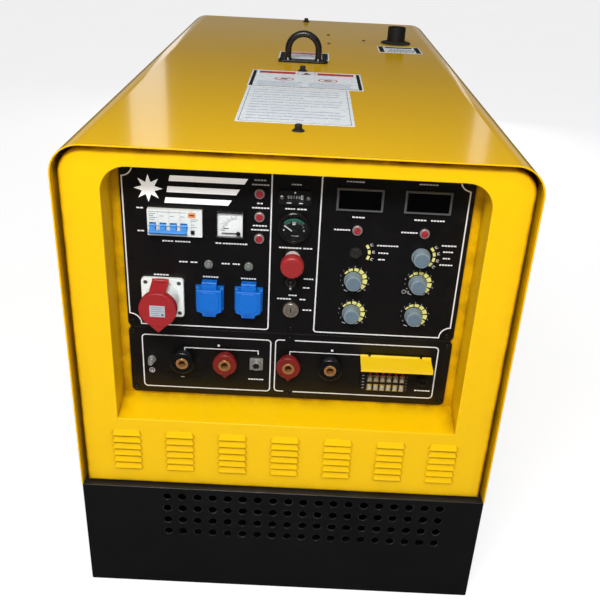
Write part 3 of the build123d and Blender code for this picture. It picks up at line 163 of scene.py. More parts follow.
def surface(name, rgb, rough=0.4, metal=0.0, vary=0.06, scale=5.0, rough_vary=0.08, spec=0.5,
            edge=0.5, speck=None, streak=0.0, peel=None, wave=None, brush=None, grime=None,
            edge_wear_and_highlight=None, top_dust_and_shade=None, coat=None, glow=None):
    """One procedural finish. Colours are 8-bit.

    vary, scale  colour drift and its noise scale    edge   softened edge radius, mm
    speck        (amount, scale) of pale grain       streak amount of vertical dark runs
    peel, wave   (height in mm, scale) of relief     brush  noise scale along x, y, z
    grime  (colour, amount, reach in metres) darker where ambient occlusion is
                             strong: painted shade in crevices and under lips, with grime
    edge_wear_and_highlight  (colour, amount) on edges: painted edge highlight, with wear
    top_dust_and_shade       (colour, amount) on top faces: dust, with painted shade
    coat         (weight, roughness)                 glow   white emission strength
    """
    look = Look(name)
    colour = lin(*rgb)
    broad = look.noise(scale=scale, detail=4.0, rough=0.6, warp=0.4)
    fine = look.noise(scale=scale * 8.0, rough=0.6)
    base = look.mix(look.span(broad, 0.3, 0.7), shade(colour, 1.0 - vary), shade(colour, 1.0 + vary))
    if speck:
        grain = look.noise(scale=speck[1], detail=2.0, rough=0.7)
        base = look.mix(look.span(grain, 0.35, 0.65, to=(0.0, speck[0])), base, shade(colour, 1.9))
    if streak:
        run = look.noise(scale=1.0, detail=4.0, rough=0.6, vector=look.scaled(38.0, 38.0, 1.4))
        base = look.mix(look.times(look.span(run, 0.52, 0.75), streak), base, shade(colour, 0.62))
    gloss = look.span(fine, 0.3, 0.7, to=(max(0.02, rough - rough_vary), min(1.0, rough + rough_vary)))
    soft = None
    if edge:
        soft = look.node("ShaderNodeBevel", {"Radius": edge * MM}, samples=4)
    # darker where ambient occlusion is strong: painted shade in crevices, under lips and between
    # parts, mixed with grime
    if grime:
        crevice_colour, amount, reach = grime
        crevice = look.node("ShaderNodeAmbientOcclusion", {"Distance": reach}, samples=4)
        near = look.span(crevice.outputs["AO"], 0.25, 0.95, to=(1.0, 0.0))
        patch = look.span(fine, 0.3, 0.65, to=(0.35, 1.0))
        base = look.mix(look.times(near, patch, amount), base, lin(*crevice_colour))
    # paler, in patches, where the softened normal turns away at edges: painted edge highlight, mixed
    # with wear
    if edge_wear_and_highlight:
        edge_colour, amount = edge_wear_and_highlight
        turn = look.node("ShaderNodeVectorMath", {0: soft, 1: look.normal}, operation="DOT_PRODUCT")
        rim = look.span(turn.outputs["Value"], 0.90, 0.995, to=(1.0, 0.0))
        edge_patches = look.span(look.noise(scale=70.0, detail=4.0, rough=0.7), 0.42, 0.62)
        base = look.mix(look.times(rim, edge_patches, amount), base, lin(*edge_colour))
    # tint on faces that look up: dust; the canopy's darker yellow there is painted shade
    if top_dust_and_shade:
        top_colour, amount = top_dust_and_shade
        normal_z = look.node("ShaderNodeSeparateXYZ", {0: look.normal}).outputs[2]
        layer = look.noise(scale=16.0, detail=5.0, rough=0.65)
        film = look.times(look.span(normal_z, 0.35, 0.98),
                          look.span(layer, 0.35, 0.75, to=(0.25, 1.0)), amount)
        base = look.mix(film, base, lin(*top_colour))
        gloss = look.calc("ADD", gloss, look.times(film, 0.25))
    normal = soft
    # (relief, noise detail, noise roughness)
    for relief, detail, noise_rough in ((wave, 1.0, 0.4), (peel, 2.0, 0.5)):
        if relief:
            bumps = look.noise(scale=relief[1], detail=detail, rough=noise_rough)
            normal = look.bump(bumps, strength=1.0, distance=relief[0] * MM, normal=normal)
    if brush:
        lines = look.noise(scale=1.0, rough=0.7, vector=look.scaled(*brush))
        normal = look.bump(lines, strength=0.5, distance=0.00008, normal=normal)
        gloss = look.calc("ADD", gloss, look.span(lines, 0.3, 0.7, to=(-0.05, 0.08)))
    inputs = {"Base Color": base, "Metallic": metal, "Roughness": gloss, "Normal": normal,
              "Specular IOR Level": spec}
    if coat:
        inputs |= {"Coat Weight": coat[0], "Coat Roughness": coat[1], "Coat Normal": normal}
    if glow:
        inputs |= {"Emission Color": (1, 1, 1, 1), "Emission Strength": glow}
    return look.finish(look.node("ShaderNodeBsdfPrincipled", inputs))


def printed(name, rgb, rough=0.5, **more):
    """Flat ink or film with no softened edges."""
    return surface(name, rgb, rough=rough, edge=0.0, **more)


# ---------------------------------------------------------------------------
# Materials
# ---------------------------------------------------------------------------
# In the finishes below, crevice colours that are darker tones of a part's own colour are painted
# shade, and paler edge colours are painted highlight mixed with wear.
DUST = (150, 146, 138)
# pale yellow on painted edges: painted highlight, with wear
YELLOW_EDGE_HIGHLIGHT_AND_WEAR = (255, 226, 96)

# brown in crevices is painted shade; the darker yellow on top faces is painted shade on the roof
yellow = surface(
    "yellow_canopy_paint", (251, 196, 1), rough=0.13, vary=0.012, scale=1.6, rough_vary=0.01,
    peel=(0.0005, 330.0), wave=(0.3, 2.6), edge=0.9, grime=((120, 74, 4), 0.50, 0.012),
    top_dust_and_shade=((220, 176, 30), 0.03), coat=(0.3, 0.05), edge_wear_and_highlight=(YELLOW_EDGE_HIGHLIGHT_AND_WEAR, 0.35))
# deep brown where ambient occlusion reaches 32 mm: painted shadow, the band under the canopy lip and
# the shading in the louvres
yellow_fascia = surface(
    "yellow_fascia_paint", (252, 200, 1), rough=0.36, vary=0.02, scale=3.0, rough_vary=0.04,
    peel=(0.002, 330.0), wave=(0.35, 4.0), edge=0.7, grime=((116, 56, 1), 0.95, 0.032),
    coat=(0.04, 0.12), spec=0.2, edge_wear_and_highlight=(YELLOW_EDGE_HIGHLIGHT_AND_WEAR, 0.25))
yellow_cover = surface(
    "yellow_cover_paint", (250, 206, 8), rough=0.35, vary=0.03, scale=14.0, peel=(0.01, 260.0),
    edge=0.4, grime=((120, 70, 4), 0.5, 0.006), coat=(0.2, 0.15))
# blue-grey on edges is painted highlight along the base's top front edge and the hole rims, with wear;
# near-black in crevices is painted shade
black_base = surface(
    "black_base_paint", (15, 15, 16), vary=0.22, scale=6.0, speck=(0.03, 700.0),
    peel=(0.006, 420.0), wave=(0.4, 3.0), edge=1.0, edge_wear_and_highlight=((120, 128, 146), 0.85),
    top_dust_and_shade=(DUST, 0.05), spec=0.4, grime=((4, 4, 4), 0.5, 0.010))
black_paint = surface(
    "black_gloss_paint", (20, 20, 21), rough=0.3, vary=0.2, scale=20.0, peel=(0.02, 260.0),
    edge=0.6, edge_wear_and_highlight=((130, 130, 130), 0.3), top_dust_and_shade=(DUST, 0.12))
panel_black = surface(
    "panel_overlay_black", (14, 12, 13), rough=0.34, vary=0.18, speck=(0.015, 1500.0),
    peel=(0.003, 900.0), wave=(0.2, 5.0), edge_wear_and_highlight=((90, 90, 92), 0.25),
    grime=((1, 1, 1), 0.5, 0.008), spec=0.4)
black_steel = surface(
    "black_oxide_steel", (24, 23, 22), metal=0.4, vary=0.25, scale=60.0, edge=0.3,
    edge_wear_and_highlight=((120, 116, 110), 0.5))
bright_steel = surface(
    "bright_nickel", (186, 186, 182), rough=0.22, metal=0.8, vary=0.08, scale=90.0, edge=0.3,
    grime=((50, 46, 40), 0.6, 0.003), brush=(60.0, 900.0, 60.0))
zinc = surface(
    "zinc_plate", (178, 178, 172), rough=0.32, metal=0.6, vary=0.14, scale=120.0, edge=0.3,
    grime=((60, 56, 48), 0.6, 0.003))
brass = surface(
    "turned_brass", (196, 142, 84), rough=0.30, metal=0.55, vary=0.18, scale=120.0, edge=0.3,
    grime=((44, 24, 10), 0.8, 0.006), brush=(40.0, 1400.0, 40.0))
bronze = surface(
    "dull_nickel_brass", (160, 150, 138), rough=0.26, metal=0.65, vary=0.16, scale=140.0,
    edge=0.3, grime=((40, 30, 20), 0.7, 0.004), brush=(500.0, 60.0, 500.0))
red_plastic = surface(
    "red_moulded_plastic", (162, 34, 38), vary=0.05, scale=30.0, peel=(0.006, 700.0),
    grime=((70, 4, 6), 0.5, 0.005), spec=0.35)
red_terminal = surface(
    "red_terminal_plastic", (124, 28, 24), rough=0.38, vary=0.08, scale=50.0,
    peel=(0.006, 700.0), grime=((40, 4, 4), 0.5, 0.005), spec=0.35)
red_button = surface(
    "red_button_plastic", (160, 40, 42), rough=0.36, vary=0.05, scale=40.0, peel=(0.005, 800.0),
    edge=0.4, grime=((80, 6, 8), 0.4, 0.004), spec=0.4)
blue_plastic = surface(
    "blue_moulded_plastic", (0, 106, 204), vary=0.05, scale=30.0, peel=(0.006, 700.0),
    grime=((2, 34, 92), 0.55, 0.005), spec=0.35)
blue_toggle = surface(
    "blue_toggle_plastic", (40, 128, 208), rough=0.34, vary=0.05, scale=60.0, edge=0.3,
    grime=((8, 50, 110), 0.4, 0.003))
white_plastic = surface(
    "white_moulded_plastic", (236, 241, 239), rough=0.42, vary=0.025, scale=30.0,
    peel=(0.006, 700.0), edge=0.6, grime=((110, 108, 100), 0.3, 0.005))
light_grey = surface(
    "light_grey_plastic", (226, 231, 230), rough=0.42, vary=0.04, scale=40.0,
    peel=(0.005, 800.0), edge=0.3, grime=((70, 70, 70), 0.55, 0.004))
grey_knob = surface(
    "grey_knob_plastic", (128, 146, 154), rough=0.48, vary=0.07, scale=90.0,
    peel=(0.008, 900.0), edge=0.35, grime=((30, 36, 42), 0.6, 0.003),
    top_dust_and_shade=((170, 178, 182), 0.08))
knob_cap = surface(
    "grey_knob_cap", (100, 120, 134), rough=0.5, scale=90.0, edge=0.3,
    brush=(700.0, 60.0, 700.0))
strip_zinc = surface(
    "strip_screw_plate", (214, 208, 190), rough=0.3, metal=0.3, vary=0.12, scale=160.0,
    edge=0.2, grime=((60, 50, 34), 0.6, 0.002))
strip_brass = surface(
    "strip_clamp_brass", (222, 186, 104), rough=0.3, metal=0.3, vary=0.15, scale=160.0,
    edge=0.2, grime=((50, 34, 12), 0.6, 0.002))
blue_screw = surface(
    "blue_screw_cover", (60, 132, 200), vary=0.08, scale=200.0, edge=0.3,
    grime=((4, 50, 110), 0.5, 0.003))
grey_bezel = surface(
    "grey_bezel_plastic", (84, 84, 88), rough=0.45, vary=0.08, scale=60.0, edge=0.4,
    peel=(0.006, 260.0), grime=((16, 16, 17), 0.5, 0.004))
black_plastic = surface(
    "black_moulded_plastic", (20, 20, 21), rough=0.42, vary=0.18, scale=50.0,
    peel=(0.008, 900.0), edge_wear_and_highlight=((70, 70, 72), 0.3), top_dust_and_shade=(DUST, 0.10))
black_terminal = surface(
    "black_terminal_plastic", (9, 9, 11), rough=0.26, vary=0.18, scale=60.0,
    peel=(0.003, 260.0), edge=0.6, top_dust_and_shade=((120, 124, 132), 0.05), edge_wear_and_highlight=((110, 116, 126), 0.35))
bezel_black = surface(
    "gloss_bezel_black", (14, 14, 15), rough=0.16, vary=0.15, scale=50.0,
    edge_wear_and_highlight=((96, 96, 98), 0.6), coat=(0.5, 0.06))
lamp_bezel = surface(
    "lamp_bezel_plate", (176, 160, 158), rough=0.3, metal=0.5, vary=0.10, scale=140.0,
    edge=0.4, grime=((60, 30, 30), 0.6, 0.003))
estop_collar = surface(
    "stop_collar_plate", (226, 214, 214), rough=0.3, metal=0.15, scale=80.0, edge=0.4,
    grime=((90, 40, 40), 0.4, 0.005))
button_grey = surface(
    "button_grey_plastic", (138, 144, 138), rough=0.26, metal=0.35, vary=0.16, scale=120.0,
    edge=0.3, grime=((30, 34, 30), 0.6, 0.003))
needle_white = surface("needle_white_paint", (236, 236, 232), vary=0.04, scale=200.0, edge=0.1)
cast_iron = surface(
    "engine_grey_paint", (74, 80, 86), rough=0.5, metal=0.1, vary=0.14, scale=14.0,
    peel=(0.06, 180.0), edge=1.2, edge_wear_and_highlight=((130, 132, 134), 0.5), grime=((14, 12, 10), 0.7, 0.03),
    top_dust_and_shade=(DUST, 0.2))
aluminium = surface(
    "cast_aluminium", (164, 166, 168), rough=0.46, metal=0.9, vary=0.10, scale=16.0,
    peel=(0.05, 240.0), edge=1.0, grime=((34, 30, 26), 0.7, 0.02))
steel_shaft = surface(
    "ground_steel", (150, 148, 144), rough=0.3, metal=1.0, vary=0.1, scale=20.0, edge=0.6,
    grime=((50, 36, 24), 0.6, 0.01), brush=(40.0, 600.0, 40.0))
rubber = surface(
    "black_rubber", (22, 22, 22), rough=0.72, vary=0.2, scale=40.0, peel=(0.03, 500.0),
    edge=0.6, top_dust_and_shade=(DUST, 0.22))
tank_steel = surface(
    "tank_steel", (96, 98, 98), rough=0.48, metal=0.5, vary=0.12, scale=9.0,
    peel=(0.03, 260.0), edge=1.0, grime=((26, 22, 18), 0.6, 0.03), streak=0.2)
radiator_black = surface(
    "radiator_black_paint", (28, 28, 29), rough=0.48, metal=0.2, vary=0.2, scale=20.0,
    edge=0.8, speck=(0.05, 900.0), top_dust_and_shade=(DUST, 0.25), brush=(6.0, 6.0, 900.0))
stack_black = surface(
    "stack_heat_paint", (4, 5, 4), rough=0.66, vary=0.25, scale=26.0, peel=(0.05, 300.0),
    edge=0.8, edge_wear_and_highlight=((84, 66, 54), 0.4), top_dust_and_shade=(DUST, 0.10))
fan_black = surface(
    "fan_nylon", (30, 30, 31), rough=0.5, vary=0.15, scale=30.0, edge=0.8, top_dust_and_shade=(DUST, 0.3))
paint_white = printed(
    "white_screen_print", (232, 232, 234), vary=0.04, scale=90.0,
    grime=((120, 118, 112), 0.3, 0.003))
# dim white print; on the top captions the dimness is painted shade
dim_print_and_shade = printed("dim_white_print_and_shade", (186, 184, 182), vary=0.08, scale=200.0)
# white emblem with a weak white emission: painted light, it glows brighter than plain paint though it
# is no lamp
paint_emblem = printed(
    "white_emblem_film", (250, 250, 250), rough=0.42, vary=0.02, scale=30.0, glow=0.22)
dark_chrome = surface(
    "dark_plated_nut", (66, 66, 64), rough=0.2, metal=0.55, vary=0.2, scale=120.0, edge=0.4,
    grime=((10, 10, 10), 0.5, 0.003), edge_wear_and_highlight=((150, 146, 140), 0.5))
screw_grey = surface(
    "dull_screw_zinc", (92, 94, 92), metal=0.5, vary=0.16, scale=160.0, edge=0.3,
    grime=((20, 20, 20), 0.7, 0.003))
paint_yellow = printed("pale_yellow_screen_print", (226, 222, 132), vary=0.05, scale=120.0)
paint_green = printed("green_dial_print", (22, 120, 92), vary=0.08, scale=200.0)
paint_grey = printed("grey_print", (96, 104, 112), vary=0.08, scale=200.0)
paint_orange = printed("orange_print", (226, 146, 96), vary=0.08, scale=200.0)
paint_black = printed("black_print", (14, 14, 15), vary=0.1, scale=200.0)
dial_white = printed("dial_white_card", (250, 252, 252), rough=0.55, vary=0.03, scale=60.0)
dial_black = printed("dial_black_card", (12, 14, 15), vary=0.15, scale=60.0)
film_white = surface(
    "label_film_white", (244, 250, 255), rough=0.30, vary=0.03, scale=9.0, edge=0.2,
    wave=(0.25, 9.0), grime=((140, 144, 150), 0.25, 0.003))
film_red = printed("label_print_red", (196, 44, 40), rough=0.4, scale=40.0)
film_pale = printed("label_print_pale_grey", (172, 182, 200), rough=0.4, vary=0.08, scale=60.0)
lid_plate = surface(
    "lid_label_plate", (186, 194, 204), rough=0.42, metal=0.1, scale=90.0, edge=0.2)
segment_dark = printed("unlit_segments", (30, 8, 9), rough=0.4, vary=0.1, scale=200.0)


def lens_look(name, rgb, deep):
    """Moulded jewel: deep colour face-on, paler towards grazing angles as a painted sheen, over faint
    facets.
    """
    look = Look(name)
    view = look.node("ShaderNodeLayerWeight", {"Blend": 0.35})
    base = look.mix(look.span(view.outputs["Facing"], 0.05, 0.8), deep, rgb)
    grain = look.span(look.noise(scale=420.0), 0.35, 0.65, to=(0.0, 0.25))
    base = look.mix(grain, base, shade(rgb, 1.4))
    cells = look.node("ShaderNodeTexVoronoi", {"Vector": look.point, "Scale": 620.0})
    return look.finish(look.node("ShaderNodeBsdfPrincipled", {
        "Base Color": base,
        "Roughness": look.span(look.noise(scale=300.0), 0.3, 0.7, to=(0.12, 0.3)),
        "Coat Weight": 0.6, "Coat Roughness": 0.04,
        "Subsurface Weight": 0.15, "Subsurface Scale": 0.002,
        "Normal": look.bump(cells.outputs["Distance"], strength=0.35, distance=0.0004)}))


def glass_look(name, tint, haze, rough):
    """Thin window: straight-through view under a mirror layer that grows at grazing angles."""
    look = Look(name)
    smear = look.span(look.noise(scale=45.0, detail=4.0, rough=0.65), 0.3, 0.7, to=(0.5, 1.0))
    clear = look.node("ShaderNodeBsdfTransparent", {0: look.mix(smear, shade(tint, 0.97), tint)})
    gloss = look.node("ShaderNodeBsdfAnisotropic", {
        "Roughness": look.span(look.noise(scale=90.0), 0.3, 0.7, to=(rough, rough + 0.06))})
    view = look.node("ShaderNodeLayerWeight", {"Blend": 0.22})
    mirror = look.calc("ADD", look.times(view.outputs["Fresnel"], 0.45), haze)
    return look.finish(look.mix_shader(mirror, clear, gloss))


lens_red = lens_look("jewel_red", rgb=lin(206, 74, 84), deep=lin(150, 24, 40))
glass_clear = glass_look("window_clear", tint=(1.0, 1.0, 1.0, 1.0), haze=0.008, rough=0.03)
glass_dark = glass_look("window_tinted", tint=(0.10, 0.05, 0.05, 1.0), haze=0.02, rough=0.05)


# ---------------------------------------------------------------------------
# Finishes of the CAD pieces
# ---------------------------------------------------------------------------
def dress(name, mats, rule=None):
    """Finishes a CAD node. rule(x, y, z, normal_y) of a face gives the index into mats."""
    mesh = NODES[name].data
    mesh.materials.clear()
    for mat in as_list(mats):
        mesh.materials.append(mat)
    slots = [int(rule(*(p.center * 1000.0), p.normal.y)) if rule else 0 for p in mesh.polygons]
    mesh.polygons.foreach_set("material_index", slots)


def roof_bolt_slot(x, y, z, normal_y):
    chromed = ((58.5, 445.0), (58.0, 296.4), (155.0, 372.4))
    return 2 if min(math.dist((x, y), place) for place in chromed) < 8 else abs(y - 8.0) < 8


# Panel collars: (x, z) and slot. The two unnamed ones stand below the stop button.
COLLARS = ([(place, 0) for place in LAMPS] + [(place, 1) for place in BUTTONS]
           + [(STOP, 2), ((-3.7, 643.4), 5), ((-1.8, 590.2), 4)]
           + [(place, 5 if name == "process_knob_a" else 3) for name, place in KNOBS.items()])


def collar_slot(x, y, z, normal_y):
    return min(COLLARS, key=lambda collar: math.dist((x, z), collar[0]))[1]


def red_socket_slot(x, y, z, normal_y):
    radius = math.dist((x, z), RED_SOCKET)
    if y < PANEL_Y - 8.3 and radius < 29.3:
        return 0 if radius > 25.0 else 2
    if y < PANEL_Y - 9.0 and z > RED_SOCKET[1] + 28:
        return 1
    if radius < 25.2:
        return 2
    flange = PANEL_Y - 7.2 < y < PANEL_Y - 5.2 and radius > 30 and abs(normal_y) > 0.9
    return 3 if flange else 0


def blue_socket_slot(x, y, z, normal_y):
    screw = min(math.hypot(abs(x - lid_x) - 20.5, z - lid_z - rise)
                for lid_x, lid_z in BLUE_LIDS.values() for rise in (21.0, -15.5))
    if y < PANEL_Y - 5.3 and screw < 2.9:
        return 1
    well = min(math.dist((x, z), place) for place in BLUE_LIDS.values())
    return 2 if y > PANEL_Y - 4.5 and well < 18 else 0


def strip_slot(x, y, z, normal_y):
    on_pole = any(abs(x - pole) < 4.7 for pole in STRIP_X)
    on_clamp = abs(abs(z - 451.3) - 9.2) <= 7.2
    if not (PANEL_Y - 10.6 <= y <= PANEL_Y - 6.05 and on_pole and on_clamp):
        return 0
    return 2 if y > PANEL_Y - 7.6 else 1


def shaft_slot(x, y, z, normal_y):
    radius = math.dist((x, z), (0, 400))
    if -382 < y < -108 and radius > 60:
        return 1
    return 2 if y > 340 and radius > 30 else 0


for name, finish in {
    "base_frame": black_base, "canopy_shell": yellow, "front_fascia": yellow_fascia,
    "rear_panel": yellow, "left_door": yellow, "right_door": yellow,
    "left_door_latch": black_steel, "right_door_latch": black_steel, "hinge_pins": zinc,
    "lifting_bail": black_paint, "upper_panel": panel_black, "terminal_cover": yellow_cover,
    "breaker_body": light_grey, "breaker_toggle": blue_toggle,
    "breaker_test_button": black_plastic, "voltmeter_case": bezel_black,
    "voltmeter_needle": black_steel, "fuel_gauge_case": bezel_black, "lamp_lenses": lens_red,
    "circuit_button_1": button_grey, "circuit_button_2": button_grey,
    "emergency_stop_head": red_button, "emergency_stop_stem": black_plastic,
    "idle_toggle_lever": bright_steel, "ignition_barrel": bronze,
    "three_phase_lid": red_plastic, "blue_lid_1": blue_plastic, "blue_lid_2": blue_plastic,
    "weld_terminal_inserts": brass, "fuel_tank": tank_steel, "fuel_cap": black_plastic,
    "engine_block": cast_iron, "alternator_housing": aluminium, "cooling_fan": fan_black,
    "fan_belt": rubber, "radiator": radiator_black, "exhaust_muffler": stack_black,
    "air_cleaner": black_paint, "av_mounts": rubber, "power_module": aluminium,
}.items():
    dress(name, finish)
for name in KNOBS:
    dress(name, dark_chrome if name == "process_knob_a" else grey_knob)

dress("roof_bolts", [black_plastic, black_steel, dark_chrome], roof_bolt_slot)
dress("lower_panel", [panel_black, yellow_cover],
      lambda x, y, z, normal_y: y < PANEL_Y - 0.3 and 500 < z < 506.4)
dress("panel_fasteners", [black_steel, zinc],
      lambda x, y, z, normal_y: x < -235 and 455 < z < 495)
dress("fuel_gauge_needle", [needle_white, black_plastic],
      lambda x, y, z, normal_y: math.dist((x, z), FUEL_PIVOT) < 4.4)
dress("digital_meters", [grey_bezel, black_plastic],
      lambda x, y, z, normal_y: x < 50 or y > PANEL_Y + 0.2)
dress("meter_windows", [glass_clear, glass_dark], lambda x, y, z, normal_y: x > 50)
dress("panel_collars",
      [lamp_bezel, button_grey, estop_collar, black_plastic, bronze, dark_chrome], collar_slot)
dress("three_phase_socket", [white_plastic, red_plastic, black_plastic, screw_grey],
      red_socket_slot)
dress("blue_socket_bodies", [blue_plastic, blue_screw, black_plastic], blue_socket_slot)
dress("weld_terminal_shells", [black_terminal, red_terminal],
      lambda x, y, z, normal_y: -153 < x < 36)
dress("remote_sockets", [zinc, black_plastic],
      lambda x, y, z, normal_y: x > 90 or math.dist((x, z), (-59.6, 475.5)) < 6.2)
dress("terminal_strip", [black_plastic, strip_zinc, strip_brass], strip_slot)
dress("rotor_shaft", [steel_shaft, brass, black_paint], shaft_slot)
dress("battery", [black_plastic, zinc], lambda x, y, z, normal_y: z > 421)


# ---------------------------------------------------------------------------
# Outlines in a plane
# ---------------------------------------------------------------------------
def polar(x, y, radius, angle):
    return (x + radius * math.cos(angle), y + radius * math.sin(angle))


def arc(x, y, radius, start, end, steps):
    """Points along an arc, angles in degrees."""
    return [polar(x, y, radius, math.radians(start + (end - start) * i / steps))
            for i in range(steps + 1)]


def circle(x, y, radius, count):
    return [polar(x, y, radius, 2 * math.pi * i / count) for i in range(count)]


def corners(left, right, bottom, top):
    return [(left, bottom), (right, bottom), (right, top), (left, top)]


def rounded(left, right, bottom, top, radius):
    return (arc(right - radius, bottom + radius, radius, -90, 0, 6)
            + arc(right - radius, top - radius, radius, 0, 90, 6)
            + arc(left + radius, top - radius, radius, 90, 180, 6)
            + arc(left + radius, bottom + radius, radius, 180, 270, 6))


def catmull(points, steps=8):
    """Smooth run through the points."""
    run = [Vector(p) for p in points]
    run = [run[0] * 2 - run[1]] + run + [run[-1] * 2 - run[-2]]
    out = []
    for i in range(1, len(run) - 2):
        before, start, end, after = run[i - 1:i + 3]
        for k in range(steps):
            t = k / steps
            out.append(0.5 * ((2 * start) + (end - before) * t
                              + (2 * before - 5 * start + 4 * end - after) * t * t
                              + (3 * start - before - 3 * end + after) * t ** 3))
    out.append(run[-2])
    return out


# ---------------------------------------------------------------------------
# Mesh building: every part of a piece is a closed shell
# ---------------------------------------------------------------------------
class Build:
    def __init__(self):
        self.verts, self.faces, self.slots, self.smooth = [], [], [], []

    def add(self, verts, faces, mat=0, smooth=False, caps=()):
        """Adds a shell; caps are extra faces that stay flat."""
        first = len(self.verts)
        self.verts += [Vector(p) * MM for p in verts]
        for group, soft in ((faces, smooth), (caps, False)):
            self.faces += [tuple(first + i for i in face) for face in group]
            self.slots += [mat] * len(group)
            self.smooth += [soft] * len(group)

    def make(self, name, mats, body="machine", slot=None):
        mesh = bpy.data.meshes.new(name)
        mesh.from_pydata(self.verts, [], self.faces)
        for mat in as_list(mats):
            mesh.materials.append(mat)
        mesh.polygons.foreach_set("material_index", self.slots)
        mesh.polygons.foreach_set("use_smooth", self.smooth)
        bm = bmesh.new()
        bm.from_mesh(mesh)
        bmesh.ops.recalc_face_normals(bm, faces=bm.faces[:])
        bm.to_mesh(mesh)
        bm.free()
        mesh.update()
        piece = bpy.data.objects.new(name, mesh)
        bpy.context.scene.collection.objects.link(piece)
        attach(piece, body)

    def box(self, xs, ys, zs, mat=0):
        """Box from three (low, high) pairs."""
        self.add([(x, y, z) for z in zs for x, y in corners(*xs, *ys)],
                 [(0, 3, 2, 1), (4, 5, 6, 7), (0, 1, 5, 4), (1, 2, 6, 5), (2, 3, 7, 6),
                  (3, 0, 4, 7)], mat)

    def skin(self, verts, sides, mat, smooth, closed=False):
        """Joins rings of `sides` vertices; an open run gets end caps."""
        rings = len(verts) // sides
        faces = []
        for i in range(rings if closed else rings - 1):
            j = (i + 1) % rings
            for k in range(sides):
                m = (k + 1) % sides
                faces.append((i * sides + k, i * sides + m, j * sides + m, j * sides + k))
        caps = [] if closed else [range(sides)[::-1], range((rings - 1) * sides, rings * sides)]
        self.add(verts, faces, mat, smooth, caps)

    def tube(self, path, radius, mat, sides, closed=False):
        """Round tube along the points."""
        points = [Vector(p) for p in path]
        count = len(points)
        tangents = []
        for i in range(count):
            before = points[(i - 1) % count] if closed else points[max(0, i - 1)]
            after = points[(i + 1) % count] if closed else points[min(count - 1, i + 1)]
            tangents.append((after - before).normalized())
        up = Vector((0, 0, 1)) if abs(tangents[0].z) < 0.9 else Vector((1, 0, 0))
        side = tangents[0].cross(up).normalized()
        verts = []
        for point, tangent in zip(points, tangents):
            side = (side - tangent * side.dot(tangent)).normalized()
            other = tangent.cross(side)
            for k in range(sides):
                angle = 2 * math.pi * k / sides
                verts.append(point + (side * math.cos(angle) + other * math.sin(angle)) * radius)
        self.skin(verts, sides, mat, True, closed)

    def hose(self, points, radius, mat, sides):
        """Tube on a smooth run through the points."""
        self.tube(catmull(points), radius, mat, sides)

    def spin(self, origin, axis, profile, mat=0, sides=32, smooth=True):
        """Solid of revolution from (distance along axis, radius) points, capped at both ends."""
        start, axis = Vector(origin), Vector(axis).normalized()
        up = Vector((0, 0, 1)) if abs(axis.z) < 0.9 else Vector((1, 0, 0))
        side = axis.cross(up).normalized()
        other = axis.cross(side)
        verts = []
        for distance, radius in profile:
            for k in range(sides):
                angle = 2 * math.pi * k / sides
                spoke = side * math.cos(angle) + other * math.sin(angle)
                verts.append(start + axis * distance + spoke * max(radius, 1e-3))
        self.skin(verts, sides, mat, smooth)


def front(y):
    """Plane facing the front: (x, z, height) to a point."""
    return lambda x, z, height: (x, y - height, z)


def roof(x, y, height):
    return (x, y, ROOF_Z + height)


# Numeral strokes: (x, y) in a unit cell
DIGITS = {
    "0": [[(0.15, 0.2), (0.3, 0.0), (0.7, 0.0), (0.85, 0.2), (0.85, 0.8), (0.7, 1.0), (0.3, 1.0),
           (0.15, 0.8), (0.15, 0.2)]],
    "1": [[(0.3, 0.8), (0.55, 1.0), (0.55, 0.0)]],
    "2": [[(0.1, 0.8), (0.3, 1.0), (0.7, 1.0), (0.88, 0.8), (0.88, 0.62), (0.1, 0.0), (0.9, 0.0)]],
    "3": [[(0.12, 0.9), (0.35, 1.0), (0.7, 1.0), (0.86, 0.78), (0.7, 0.54), (0.4, 0.54)],
          [(0.7, 0.54), (0.88, 0.28), (0.7, 0.0), (0.3, 0.0), (0.1, 0.12)]],
    "4": [[(0.7, 0.0), (0.7, 1.0), (0.08, 0.3), (0.95, 0.3)]],
    "5": [[(0.85, 1.0), (0.2, 1.0), (0.15, 0.56), (0.65, 0.6), (0.88, 0.36), (0.7, 0.0),
           (0.3, 0.0), (0.1, 0.12)]],
    "6": [[(0.8, 0.95), (0.45, 1.0), (0.15, 0.6), (0.15, 0.25), (0.35, 0.0), (0.68, 0.0),
           (0.88, 0.25), (0.7, 0.55), (0.35, 0.55), (0.15, 0.3)]],
    "7": [[(0.1, 1.0), (0.9, 1.0), (0.4, 0.0)]],
    "8": [[(0.5, 0.54), (0.16, 0.76), (0.3, 1.0), (0.7, 1.0), (0.84, 0.76), (0.5, 0.54),
           (0.14, 0.26), (0.3, 0.0), (0.7, 0.0), (0.86, 0.26), (0.5, 0.54)]],
    "9": [[(0.85, 0.7), (0.65, 0.45), (0.32, 0.45), (0.12, 0.75), (0.32, 1.0), (0.65, 1.0),
           (0.85, 0.75), (0.85, 0.4), (0.55, 0.0), (0.2, 0.05)]],
}


